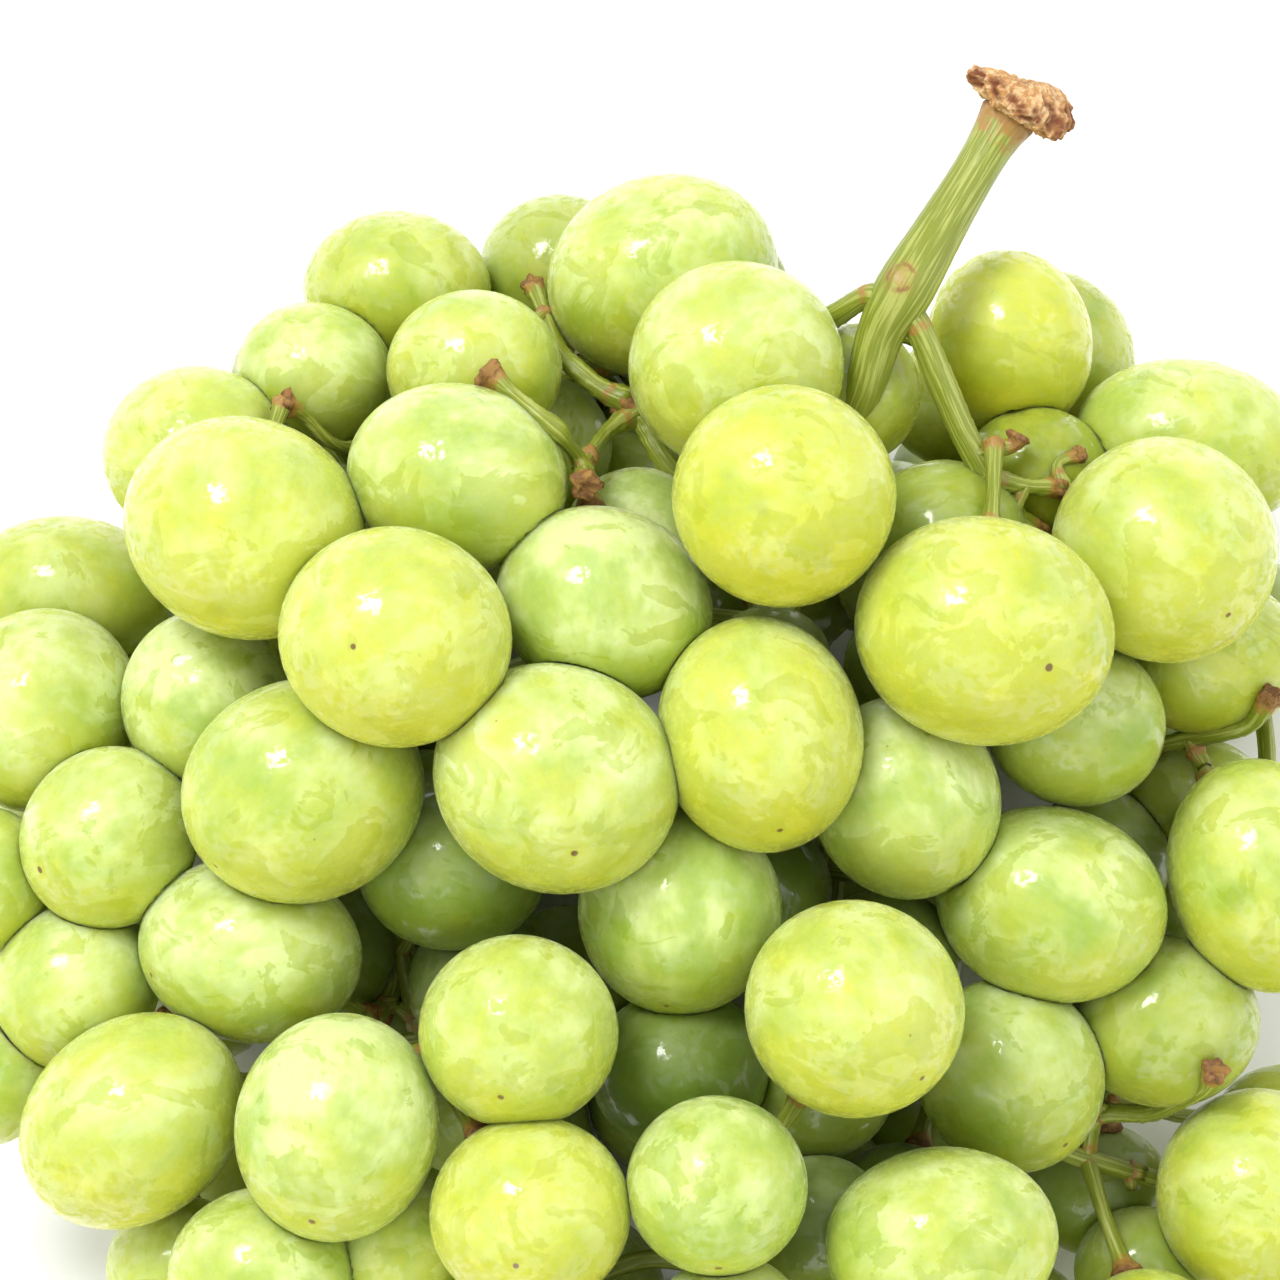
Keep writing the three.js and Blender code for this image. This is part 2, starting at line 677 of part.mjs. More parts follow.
// A faceted berry, pressed flat against the berries round it, but for those that it is joined to.
function berrySolid(berry, berries, joined) {
  const walls = [];
  for (const other of berries) {
    if (other === berry || joined.includes(other)) continue;
    const pressed = overlap(berry, other);
    if (pressed < -WALL_REACH) continue;
    const way = other.centre.clone().sub(berry.centre).normalize();
    walls.push({ way, at: reach(berry, way) - (pressed + CLEAR) / 2 });
  }
  const Faceted = berry.fine ? THREE.IcosahedronGeometry : THREE.OctahedronGeometry;
  const geometry = new Faceted(1, 1);
  const out = berry.fine ? FACETED : FEW_FACETED;
  const position = geometry.attributes.position;
  const offset = new THREE.Vector3();
  for (let v = 0; v < position.count; v += 1) {
    const local = [position.getX(v), position.getY(v), position.getZ(v)];
    offset.set(0, 0, 0);
    berry.axes.forEach((axis, i) => offset.addScaledVector(axis, local[i] * berry.half[i] * out));
    for (let round = 0; round < WALL_ROUNDS; round += 1) {
      for (const { way, at } of walls) offset.addScaledVector(way, Math.min(0, at - offset.dot(way)));
    }
    offset.add(berry.centre);
    position.setXYZ(v, offset.x, offset.y, offset.z);
  }
  return toSolid(geometry);
}

// What the bunch lies on, which presses a small flat under each of the berries that carry it.
const SURFACE = { side: 400, thick: 20 };
const surfaceBelow = toSolid(
  new THREE.BoxGeometry(SURFACE.side, SURFACE.side, SURFACE.thick).translate(0, 0, -SURFACE.thick / 2),
);

function spraySolid(k, berries, spray, from, stemRoom) {
  const members = [...berries.keys()].filter((i) => spray[i] === k);
  const pairs = members.filter((i) => from[i] >= 0).map((i) => [berries[i], berries[from[i]]]);
  const pressed = pairs.filter(([a, b]) => overlap(a, b) > JOIN.pressed);
  const apart = pairs.filter((pair) => !pressed.includes(pair));
  const solids = members.map((i) => {
    const joined = pressed.filter((pair) => pair.includes(berries[i])).flat();
    return berrySolid(berries[i], berries, joined);
  });
  for (const pair of apart) {
    solids.push(rod(pair.map((b) => ({ point: b.centre, radius: JOIN.radius })), JOIN.sides, 0));
  }
  return largestPiece(joinAll(solids).subtract(stemRoom).subtract(surfaceBelow));
}

// The knob at the cut: a short ragged disc of dried wood, square across the first end of the stem.
function cutEnd([first, second]) {
  const outline = new THREE.Shape();
  for (let i = 0; i < CUT_OUTLINE.points; i += 1) {
    const turn = (i / CUT_OUTLINE.points) * 2 * Math.PI;
    const wave = Math.sin(3 * turn + 1) * Math.cos(5 * turn);
    const size = CUT_END.radius * (1 + CUT_OUTLINE.ragged * wave);
    outline[i ? "lineTo" : "moveTo"](size * Math.cos(turn), size * Math.sin(turn));
  }
  const geometry = new THREE.ExtrudeGeometry(outline, {
    depth: CUT_END.thick - 2 * CUT_END.bevel,
    bevelThickness: CUT_END.bevel,
    bevelSize: CUT_END.bevel,
    bevelSegments: 1,
  });
  const along = first.point.clone().sub(second.point).normalize();
  const turn = new THREE.Quaternion().setFromUnitVectors(new THREE.Vector3(0, 0, 1), along);
  geometry.translate(0, 0, CUT_END.bevel + CLEAR).applyQuaternion(turn);
  geometry.translate(...first.point.toArray());
  return toSolid(geometry);
}

const skin = new THREE.MeshStandardMaterial({ color: "#cfdb8c", roughness: 0.35, metalness: 0 });
const greenStem = new THREE.MeshStandardMaterial({ color: "#7f9a4e", roughness: 0.6, metalness: 0 });
const driedStem = new THREE.MeshStandardMaterial({ color: "#8a6238", roughness: 0.85, metalness: 0 });

function toMesh(name, solid, material) {
  const { vertProperties, triVerts } = solid.getMesh();
  const geometry = new THREE.BufferGeometry();
  geometry.setAttribute("position", new THREE.BufferAttribute(vertProperties, 3));
  geometry.setIndex(new THREE.BufferAttribute(triVerts, 1));
  const mesh = new THREE.Mesh(geometry, material.clone());
  mesh.name = name;
  return mesh;
}

const face = placeFaceBerries();
const { branches, tree } = growStem(face);
const berries = [...face, ...placeHiddenBerries(face, tree)];
const stalks = growStalks(berries, tree);
const { spray, from } = sortIntoSprays(berries);
const stem = largestPiece(stemSolid(branches, stalks, 0));
const stemRoom = stemSolid(branches, stalks, CLEAR);

const bunch = new THREE.Group();
bunch.add(toMesh("stem", stem, greenStem));
bunch.add(toMesh("stem_cut_end", cutEnd(branches[0]), driedStem));
for (let k = 0; k < SPRAYS; k += 1) {
  const name = `berries_spray_${String(k + 1).padStart(2, "0")}`;
  bunch.add(toMesh(name, spraySolid(k, berries, spray, from, stemRoom), skin));
}
export default bunch;
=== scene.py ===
# %% [markdown]
# # A bunch of green table grapes
# The bunch lies on a pale surface and the camera looks down on it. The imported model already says
# where the sprays of grapes, the stem and its dried cut end are. This lesson gives each of them a
# finer surface that keeps its place, and skins that look wet, waxy and lit from inside.

# %% Load the frame
import math

import bpy
import numpy as np
from mathutils import Matrix


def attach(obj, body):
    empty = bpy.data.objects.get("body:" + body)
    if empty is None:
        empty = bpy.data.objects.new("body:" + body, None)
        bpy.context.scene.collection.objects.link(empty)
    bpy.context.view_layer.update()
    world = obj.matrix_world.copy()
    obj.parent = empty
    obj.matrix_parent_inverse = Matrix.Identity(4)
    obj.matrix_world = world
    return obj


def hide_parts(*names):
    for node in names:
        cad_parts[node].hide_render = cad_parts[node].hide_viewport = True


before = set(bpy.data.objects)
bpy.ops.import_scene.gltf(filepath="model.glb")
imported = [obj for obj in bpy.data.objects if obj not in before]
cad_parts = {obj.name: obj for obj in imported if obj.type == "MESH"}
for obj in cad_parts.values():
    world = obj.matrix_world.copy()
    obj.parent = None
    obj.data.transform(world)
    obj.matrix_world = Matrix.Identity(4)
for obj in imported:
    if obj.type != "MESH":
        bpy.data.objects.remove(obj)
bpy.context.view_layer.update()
MM = 0.001  # the shapes are worked out in millimetres, and a mesh is in metres
print("the packed model has", len(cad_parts), "nodes")

# %% [markdown]
# ## Where things are
# Places are read on the face of the bunch, the side that looks up at the camera: x to the right and
# y downwards from the picture's upper left corner, in millimetres, and d towards the viewer. Things
# further away look smaller, so x and y are widened by how far behind the face they are.

# %% The face and its camera
FACE_MIDDLE = 64.0
FACE_HEIGHT = 74.0
VIEW_DISTANCE = 520.0
VIEW_ELEVATION = math.radians(70)
ORIGIN = (3.6, -18.9)

RIGHT = np.array([1.0, 0.0, 0.0])
UP = np.array([0.0, math.sin(VIEW_ELEVATION), math.cos(VIEW_ELEVATION)])
NEARER = np.array([0.0, -math.cos(VIEW_ELEVATION), math.sin(VIEW_ELEVATION)])
FACE_ORIGIN = np.array([-ORIGIN[0], -ORIGIN[1], FACE_HEIGHT])


def from_face(x, y, d):
    """The face's middle, plus x and y from it times 1 - d / view distance, plus d towards the viewer."""
    spread = 1 - d / VIEW_DISTANCE
    return FACE_ORIGIN + RIGHT * (x - FACE_MIDDLE) * spread + UP * (FACE_MIDDLE - y) * spread + NEARER * d


def to_face(points):
    """The inverse of from_face for an array of points: x, y, d and the spread 1 - d / view distance."""
    offset = points - FACE_ORIGIN
    d = offset @ NEARER
    spread = 1 - d / VIEW_DISTANCE
    return FACE_MIDDLE + offset @ RIGHT / spread, FACE_MIDDLE - offset @ UP / spread, d, spread


SENSOR = 36.0
camera = bpy.data.objects.new("camera", bpy.data.cameras.new("camera"))
camera.data.sensor_width = SENSOR
camera.data.lens = SENSOR * VIEW_DISTANCE / (2 * FACE_MIDDLE)
camera.data.clip_end = 20
eye = (FACE_ORIGIN + NEARER * VIEW_DISTANCE) * MM
camera.matrix_world = Matrix(
    [[RIGHT[i], UP[i], NEARER[i], eye[i]] for i in range(3)] + [[0, 0, 0, 1]]
)
bpy.context.scene.collection.objects.link(camera)
bpy.context.scene.camera = camera
print("lens", round(camera.data.lens, 2), "mm")

# %% [markdown]
# ## The grapes of the face
# Every grape that shows was measured. Its depth can't be measured, so it starts on a shallow
# dome and slides back until it only presses on those in front of it, as a hanging grape settles
# against its neighbours. The rows are: middle x and y, half the longer way, half the shorter way,
# the longer way's lean in degrees, and where the scar opposite the stalk shows, if it does.

# %% Measured grapes
FACE_BERRIES = [
    [78.4, 49.6, 11.2, 11.1, 0],
    [98.4, 63.1, 13.1, 11.5, -12, 104.1, 66.7],
    [39.5, 63.7, 11.7, 11.0, -10, 35.8, 64.7],
    [55.6, 77.8, 12.5, 11.5, -20, 57.6, 85.1],
    [76.0, 73.5, 11.9, 10.3, 100, 77.8, 82.6],
    [24.5, 52.8, 12.4, 11.0, -25],
    [30.3, 79.1, 12.3, 11.1, 20, 22.0, 86.4],
    [85.4, 100.9, 11.1, 10.8, -30, 92.0, 107.4],
    [53.0, 121.3, 10.1, 9.7, 0, 51.8, 125.7],
    [94.1, 124.2, 11.7, 9.5, 5],
    [33.7, 112.7, 11.5, 10.2, 80, 31.6, 121.4],
    [71.7, 118.6, 9.1, 9.0, 0, 71.8, 126.6],
    [13.2, 112.1, 12.0, 10.0, 40, 4.3, 118.5],
    [116.5, 55.0, 11.5, 11.1, -45, 122.1, 61.6],
    [94.3, 54.4, 8.7, 8.4, 0],
    [103.6, 47.6, 7.4, 7.0, 0],
    [126.5, 87.6, 11.9, 9.6, 105],
    [125.8, 119.4, 10.6, 10.2, 90],
    [73.6, 36.6, 10.8, 10.5, 0],
    [60.4, 60.3, 11.0, 9.6, -20],
    [90.5, 79.8, 10.3, 9.5, 110, 95.0, 88.5],
    [91.5, 66.8, 7.2, 6.8, 0],
    [45.7, 47.8, 11.1, 9.4, -10],
    [105.2, 90.4, 11.6, 9.8, -12, 114.0, 96.5],
    [51.8, 103.2, 10.0, 9.7, 0, 50.2, 109.3],
    [68.0, 91.0, 10.5, 10.2, 90, 66.6, 100.5],
    [25.0, 95.0, 11.3, 9.2, -10, 15.7, 97.2],
    [10.9, 83.8, 9.3, 8.8, 60, 4.5, 86.8],
    [107.5, 72.2, 9.1, 8.5, -10],
    [66.2, 27.6, 11.7, 10.1, 17],
    [47.4, 37.0, 8.8, 8.0, 0],
    [119.0, 44.5, 11.8, 8.6, -8],
    [101.0, 34.2, 9.3, 8.3, 100],
    [85.7, 39.3, 7.0, 6.4, 90],
    [95.5, 40.2, 6.9, 6.6, 0],
    [45.2, 86.5, 9.6, 8.6, -5],
    [101.0, 107.5, 9.9, 9.3, -60, 106.2, 114.1],
    [26.2, 127.5, 9.4, 8.7, 0],
    [19.5, 45.2, 9.3, 8.6, 10],
    [20.5, 70.0, 9.0, 8.4, 90],
    [4.0, 71.0, 10.4, 9.8, 60],
    [31.5, 37.5, 7.9, 7.3, -15],
    [7.6, 98.6, 8.7, 8.1, 45, 0.7, 103.7],
    [39.7, 29.0, 9.4, 7.9, 0],
    [116.5, 102.2, 9.5, 8.6, 0],
    [114.8, 133.6, 7.4, 6.7, 0],
    [6.8, 59.2, 10.4, 7.6, -5],
    [68.0, 107.0, 9.0, 8.2, 10],
    [121.0, 65.6, 9.2, 8.0, 0],
    [64.0, 54.3, 7.8, 7.6, 0],
    [56.0, 27.2, 8.1, 7.7, 0],
    [106.0, 35.5, 8.5, 7.4, 110],
    [81.5, 108.5, 8.0, 7.4, 0],
    [73.0, 133.0, 7.9, 7.5, 0],
    [18.3, 126.8, 7.7, 7.2, 0],
    [40.5, 124.5, 8.2, 7.0, 70],
    [134.0, 65.5, 7.6, 7.6, 0],
    [-1.5, 88.0, 7.4, 6.8, 90],
    [-1.5, 108.0, 7.0, 6.6, 0],
    [77.0, 66.5, 6.3, 6.0, 0],
    [109.8, 86.2, 7.4, 7.2, 90],
    [119.8, 79.5, 6.8, 5.7, 0],
    [116.5, 93.5, 7.4, 7.2, 0],
    [114.2, 127.0, 6.8, 6.4, 0],
    [109.8, 119.0, 7.3, 6.7, 0],
    [128.5, 113.8, 7.6, 7.4, 0],
    [82.0, 122.3, 7.0, 6.8, 0],
    [90.0, 121.5, 7.4, 7.2, 0],
    [48.5, 98.5, 7.7, 7.5, 0],
    [32.2, 95.0, 7.5, 7.3, 0],
    [57.0, 97.8, 7.5, 7.3, 0],
    [75.7, 89.0, 7.5, 7.3, 0],
    [88.5, 96.2, 7.6, 7.4, 0],
    [53.6, 44.7, 7.6, 7.4, 0],
    [61.2, 50.0, 7.4, 7.2, 0],
]

# %% How grapes press and settle
DOME = {"x": 62.0, "y": 76.0, "half_width": 90.0, "half_up": 88.0, "half_down": 150.0, "height": 84.0}
PRESS = 2.2  # how far two touching grapes are squeezed together
CLEAR = 0.3  # kept between pieces that only touch
SLIDE = 0.25  # step by which a grape slides back until it finds room
BEHIND = 1.5  # a grape's middle is at least this far behind one that covers it
COVERED = 1.0  # an overlap seen from the front that says which grape is behind
FLOOR_FLAT = 0.5  # how far a grape that carries the bunch is flattened underneath


def dome(x, y):
    """Minus the dome's height times 1 - sqrt(1 - across squared - along squared)."""
    across = (x - DOME["x"]) / DOME["half_width"]
    along = (y - DOME["y"]) / np.where(y < DOME["y"], DOME["half_up"], DOME["half_down"])
    return -DOME["height"] * (1 - np.sqrt(np.maximum(0, 1 - across**2 - along**2)))


def reach(axes, half, way):
    """An ellipsoid's radius along a unit direction: 1 / sqrt(sum of (direction along axis / half)^2)."""
    along = np.einsum("...ij,...j->...i", axes, way)
    return 1 / np.sqrt(((along / half) ** 2).sum(-1))


def overlaps(berry, others):
    """How deep one grape is in each of the others: the two reaches less the distance."""
    between = others["centre"] - berry["centre"]
    distance = np.linalg.norm(between, axis=-1)
    way = between / distance[..., None]
    near = reach(berry["axes"], berry["half"], way)
    return near + reach(others["axes"], others["half"], way) - distance


def face_berry(row, d):
    """One grape of the face, d towards the viewer: its sizes are widened by the spread there."""
    x, y, long, short, lean = row[:5]
    spread = 1 - d / VIEW_DISTANCE
    turn = math.radians(lean)
    long_way = RIGHT * math.cos(turn) + UP * math.sin(turn)
    size = math.sqrt(long * short)
    scar = np.full(3, np.nan)
    if len(row) > 5:
        across, along = (row[5] - x) / size, (y - row[6]) / size
        out = math.sqrt(max(0, 1 - across**2 - along**2))
        scar = RIGHT * across + UP * along + NEARER * out
    return {
        "centre": from_face(x, y, d),
        "axes": np.array([long_way, np.cross(NEARER, long_way), NEARER]),
        "half": np.array([long, short, size]) * spread,
        "radius": size * spread,
        "scar": scar,
    }


def stacked(berries):
    """A list of grapes as one dictionary of arrays."""
    return {key: np.array([b[key] for b in berries]) for key in berries[0]}


def place_face_berries():
    """Each row's d is the dome's, or less where a grape before it covers it, and less until it fits."""
    placed, flat = [], []
    for row in FACE_BERRIES:
        size = math.sqrt(row[2] * row[3])
        d = float(dome(row[0], row[1]))
        for x, y, other_size, other_d in flat:
            if math.hypot(x - row[0], y - row[1]) < other_size + size - COVERED:
                d = min(d, other_d - BEHIND)
        berry = face_berry(row, d)
        others = stacked(placed) if placed else None
        while others is not None and (overlaps(berry, others) > PRESS).any():
            lower = face_berry(row, d - SLIDE)
            if lower["centre"][2] < lower["radius"] - FLOOR_FLAT:
                break
            d -= SLIDE
            berry = lower
        placed.append(berry)
        flat.append((row[0], row[1], size, d))
    return placed


face = place_face_berries()
print(len(face), "grapes on the face")

# %% [markdown]
# ## The stem
# A bunch hangs on one tree: a thick stalk that was cut from the vine, branches that leave it in
# turn, and a short stalk to every grape. Where the photo shows a branch, its points are measured.
# Where grapes hide it, its points only say about where it runs, and they give way to the grapes.
# Each point is x, y, d and the radius there.

# %% Measured branches
STEM = [
    (True, [(100.8, 11.7, -25.6, 3.1), (99.9, 13.1, -25.3, 2.6), (98.3, 15.6, -24.9, 2.3),
            (96.7, 18.6, -24.3, 2.35), (93.6, 23.4, -23, 2.7), (90.4, 29, -21, 3.1), (88, 33.5, -21.5, 2.5),
            (86.2, 39.5, -22.5, 2.1), (83.6, 45, -26, 1.9)]),
    (False, [(80, 53, -31, 1.8), (79, 66, -35, 1.8), (83, 80, -38, 1.8), (82, 94, -38, 1.7),
             (78, 108, -34, 1.6), (75, 122, -32, 1.5), (73, 138, -26, 1.4), (72, 156, -21, 1.2)]),
    (True, [(87, 29.6, -21.5, 1.3), (83, 31.8, -25, 1.25), (79, 33, -35, 1.2)]),
    (False, [(70, 36, -44, 1.2), (58, 37, -46, 1.2), (42, 42, -46, 1.1), (24, 44, -52, 1)]),
    (True, [(91.6, 32.5, -21, 1.5), (94, 38, -21, 1.5), (96.2, 43, -21.5, 1.4), (98.8, 47.8, -22, 1.4)]),
    (True, [(101, 44.6, -22, 0.8), (101.8, 43.7, -22, 1.2)]),
    (True, [(99.2, 45.6, -21, 0.7), (99.4, 44.4, -20.6, 0.8)]),
    (True, [(102.5, 48.6, -23, 0.8), (106.2, 48.7, -24, 1.2)]),
    (True, [(105.8, 46.4, -24.5, 0.6), (108.2, 45.4, -25.5, 0.9)]),
    (True, [(96.4, 50, -20.5, 1.1), (94.8, 51.4, -20, 0.8)]),
    (True, [(101.6, 51.2, -23.5, 0.9), (104, 53.2, -26, 1.1)]),
    (False, [(108, 60, -38, 1.1), (112, 74, -42, 1.1), (113, 88, -42, 1), (112, 102, -40, 1)]),
    (False, [(121, 56, -48, 1), (126, 70, -52, 1), (127, 84, -48, 0.9)]),
    (True, [(73, 50, -30, 1.4), (67.5, 47, -28, 1.4), (64.5, 42.5, -29, 1.4), (62.5, 40, -29, 1.6)]),
    (True, [(60, 38.8, -29, 1.1), (57.5, 36.8, -29.5, 1.1), (56, 35.2, -31, 1), (54.5, 31.5, -35, 0.8),
            (53.2, 28.4, -39, 1.2)]),
    (True, [(60.5, 43.4, -26, 0.8), (58.4, 46.6, -19, 0.8), (58.6, 48.6, -13, 1.6)]),
    (True, [(57.7, 45.6, -17, 0.8), (56.6, 44.2, -15, 0.75), (55.6, 43, -13.5, 1.2), (53.5, 41.2, -13, 0.8),
            (51, 39.2, -15, 0.8), (48.8, 37.2, -15.5, 1.6)]),
    (False, [(68, 62, -36, 1.2), (54, 66, -36, 1.2), (40, 72, -38, 1.1), (24, 76, -40, 1), (10, 80, -44, 0.9)]),
    (False, [(72, 96, -37, 1.2), (58, 104, -35, 1.1), (42, 104, -34, 1.1), (26, 108, -34, 1),
             (12, 108, -36, 0.9)]),
    (False, [(92, 106, -34, 1.1), (104, 114, -33, 1.1), (116, 118, -36, 1)]),
    (False, [(64, 126, -31, 1.1), (50, 132, -27, 1), (36, 132, -25, 0.9)]),
    (False, [(86, 134, -29, 1), (98, 142, -26, 0.9)]),
    (True, [(116, 74.4, -36, 0.9), (119, 73.8, -33.5, 1), (122.5, 73.3, -30.5, 0.9), (125.2, 72.3, -29, 0.9),
            (127.2, 69.4, -26.5, 1.3)]),
    (True, [(120.2, 76.6, -33, 0.9), (120.8, 78.1, -34.3, 1.7)]),
    (True, [(109.8, 111.6, -33, 1), (114.8, 111.3, -31, 1), (117.4, 110.4, -28, 0.9), (120.4, 108.8, -24, 0.9),
            (121.6, 107, -20, 1.4)]),
    (True, [(39.6, 93, -37, 0.9), (39.5, 97, -38, 0.9), (38.4, 100.6, -36, 1), (36.6, 101.6, -31, 1.3)]),
    (True, [(34.4, 44.8, -30, 0.7), (30.4, 41.6, -26, 0.7), (28.2, 40.4, -24.5, 1.5)]),
]
GIVE_ROUNDS = 40
SAMPLE_STEP = 3.0


def samples(path):
    """Points on a path of x, y, z and radius rows, at most a sample step apart."""
    rows = [path[:1]]
    for start, end in zip(path[:-1], path[1:]):
        count = max(1, math.ceil(np.linalg.norm(end[:3] - start[:3]) / SAMPLE_STEP))
        t = np.arange(1, count + 1)[:, None] / count
        rows.append(start + (end - start) * t)
    return np.concatenate(rows)


def grow_stem(berries):
    """Hidden points move out of the grapes, and each branch starts at the nearest place before it."""
    branches, tree = [], None
    for seen, points in STEM:
        path = np.array([[*from_face(x, y, d), r] for x, y, d, r in points])
        for _ in range(0 if seen else GIVE_ROUNDS):
            for row in path:
                for berry in berries:
                    away = row[:3] - berry["centre"]
                    gap = math.sqrt(away @ away)
                    lacking = berry["radius"] + row[3] + CLEAR - gap
                    if lacking > 0:
                        row[:3] += away * (lacking / gap)
        if tree is not None:
            nearest = np.argmin(np.linalg.norm(tree[:, :3] - path[0, :3], axis=1))
            path = np.concatenate([tree[nearest : nearest + 1], path])
        branches.append(path)
        grown = samples(path)
        tree = grown if tree is None else np.concatenate([tree, grown])
    return branches, tree


branches, tree = grow_stem(face)
print(len(branches), "branches, with", len(tree), "places for stalks")

# %% [markdown]
# ## The grapes behind
# Behind the face the bunch goes on, and nobody measured those grapes. They heap up from the surface
# that the bunch lies on: each goes to the lowest place that is free, inside the outline, behind the
# face and off the stem. Random numbers only jitter the places and sizes, and they are seeded.

# %% Heaping up the hidden grapes
OUTLINE = np.array([
    [56, 19], [67, 17], [77, 24], [84, 33], [92, 31], [100, 25], [108, 27], [114, 33], [122, 36],
    [131, 42], [136, 55], [139, 66], [136, 80], [137, 95], [134, 104], [137, 118], [134, 130],
    [126, 142], [114, 156], [100, 170], [84, 182], [70, 187], [56, 182], [42, 168], [28, 150],
    [17, 134], [10, 124], [2, 118], [-5, 112], [-9, 100], [-8, 85], [-7, 68], [-4, 56], [5, 51], [10, 44],
    [18, 36], [24, 33], [30, 22], [40, 21], [48, 21],
], float)
HIDDEN = {
    "seed": 4711, "left": -76, "right": 80, "tip": -140, "top": 80, "pitch": 4, "outward": 0.02,
    "smallest": 9.8, "largest": 12.0, "longer": 1.07, "behind_face": 13, "face_bottom": 128,
    "side_taper": 0.35, "taper_below": 24, "layer": 14, "side_depth": 26, "most": 56,
}


def draws(seed, count):
    """Numbers from 0 to 1, each state being the last times 16807, modulo 2147483647."""
    state, out = seed, np.empty(count)
    for i in range(count):
        state = state * 16807 % 2147483647
        out[i] = state / 2147483647
    return out


def inside_outline(x, y):
    """Distance to the outline, and minus it outside, from the nearest point of each of its edges."""
    start, end = OUTLINE, np.roll(OUTLINE, -1, axis=0)
    (x1, y1), (x2, y2) = start.T, end.T
    x, y = x[:, None], y[:, None]
    steep = np.where(y2 == y1, 1, y2 - y1)
    crosses = ((y1 > y) != (y2 > y)) & (x < x1 + (x2 - x1) * (y - y1) / steep)
    length2 = (x2 - x1) ** 2 + (y2 - y1) ** 2
    t = np.clip(((x - x1) * (x2 - x1) + (y - y1) * (y2 - y1)) / length2, 0, 1)
    nearest = np.hypot(x - x1 - t * (x2 - x1), y - y1 - t * (y2 - y1)).min(1)
    return np.where(crosses.sum(1) % 2 == 1, nearest, -nearest)


def may_lie_here(points, radius):
    """Behind the dome, inside the outline by the radius, at the sides if high, and clear of the stem."""
    x, y, d, spread = to_face(points)
    z = points[:, 2]
    taper = np.maximum(0, HIDDEN["taper_below"] - z) * HIDDEN["side_taper"]
    inward = inside_outline(x, y)
    fits = inward >= radius / spread - 1 + taper
    in_face = (y < HIDDEN["face_bottom"]) & (x > 0) & (x < 2 * FACE_MIDDLE)
    fits &= d <= dome(x, y) - np.where(in_face, HIDDEN["behind_face"], 0)
    fits &= ~(in_face & (z > HIDDEN["layer"]) & (inward > HIDDEN["side_depth"]))
    gaps = np.linalg.norm(points[:, None] - tree[None, :, :3], axis=2)
    return fits & (gaps > radius[:, None] + tree[:, 3] + CLEAR).all(1)


def lowest_free(sites, radius, balls):
    """The lowest height over each site at which a ball is clear of the others: up from the surface,
    past the top of whatever blocks it, until nothing does."""
    z = radius - FLOOR_FLAT
    total = radius[:, None] + balls[:, 3] - PRESS
    beside = (sites[:, None, 0] - balls[:, 0]) ** 2 + (sites[:, None, 1] - balls[:, 1]) ** 2
    half = np.sqrt(np.maximum(0, total**2 - beside))
    bottom, top = balls[:, 2] - half, balls[:, 2] + half
    while True:
        blocked = (beside < total**2) & (z[:, None] > bottom + 1e-6) & (z[:, None] < top - 1e-6)
        if not blocked.any():
            return z
        z = np.maximum(z, np.where(blocked, top, -np.inf).max(1))


def place_hidden_berries():
    """The free place with the least height plus a little for its distance from the middle, again
    and again, until none is left."""
    columns = np.arange(HIDDEN["left"], HIDDEN["right"] + 1, HIDDEN["pitch"])
    lines = np.arange(HIDDEN["tip"], HIDDEN["top"] + 1, HIDDEN["pitch"])
    grid = np.stack(np.meshgrid(columns, lines, indexing="ij"), -1).reshape(-1, 2)
    jitter = draws(HIDDEN["seed"], 4 * len(grid)).reshape(-1, 4)
    spots = grid + (jitter[:, :2] - 0.5) * HIDDEN["pitch"]
    radius = HIDDEN["smallest"] + (HIDDEN["largest"] - HIDDEN["smallest"]) * jitter[:, 2]
    outward = HIDDEN["outward"] * np.hypot(spots[:, 0], spots[:, 1])
    sites = spots - np.array(ORIGIN)
    balls = np.array([[*b["centre"], b["radius"]] for b in face])
    z = lowest_free(sites, radius, balls)
    fits = may_lie_here(np.column_stack([sites, z]), radius)
    placed = []
    while fits.any() and len(placed) < HIDDEN["most"]:
        best = int(np.argmin(np.where(fits, z + outward, np.inf)))
        turn = jitter[best, 3] * math.pi
        centre, r = np.array([*sites[best], z[best]]), radius[best]
        across = [[math.cos(turn), math.sin(turn), 0], [-math.sin(turn), math.cos(turn), 0], [0, 0, 1]]
        placed.append({
            "centre": centre,
            "axes": np.array(across, float),
            "half": np.array([r * HIDDEN["longer"], r, r]),
            "radius": r,
            "scar": np.full(3, np.nan),
        })
        balls = np.concatenate([balls, [[*centre, r]]])
        near = np.hypot(sites[:, 0] - centre[0], sites[:, 1] - centre[1]) < radius + r
        z[near] = lowest_free(sites[near], radius[near], balls)
        fits[near] = may_lie_here(np.column_stack([sites, z])[near], radius[near])
        fits[best] = False
        radius[best] = -1e6  # this place is taken
    return placed


berries = face + place_hidden_berries()
grapes = stacked(berries)
COUNT = len(berries)
print(COUNT, "grapes, of which", COUNT - len(face), "are hidden")

# %% [markdown]
# ## The stalks
# Each grape takes the cheapest straight way to the stem or to a stalk that is already there. Length
# costs, and so does going through other grapes, leaving the grape on the side of its scar, or
# leaving a grape of the face in front, where the photo shows none.

# %% Growing the stalks
FACETED = 1.035  # the model's faceted grapes stand out this much, and a stalk starts on their skin
STALK_RADIUS = 0.9
STALK_FOOT = 1.3
SHORTEST = 2.5
CROSSING_COST = 4.0
SCAR_COST = 12.0
FRONT_COST = 14.0
STALK_COST = 2.0


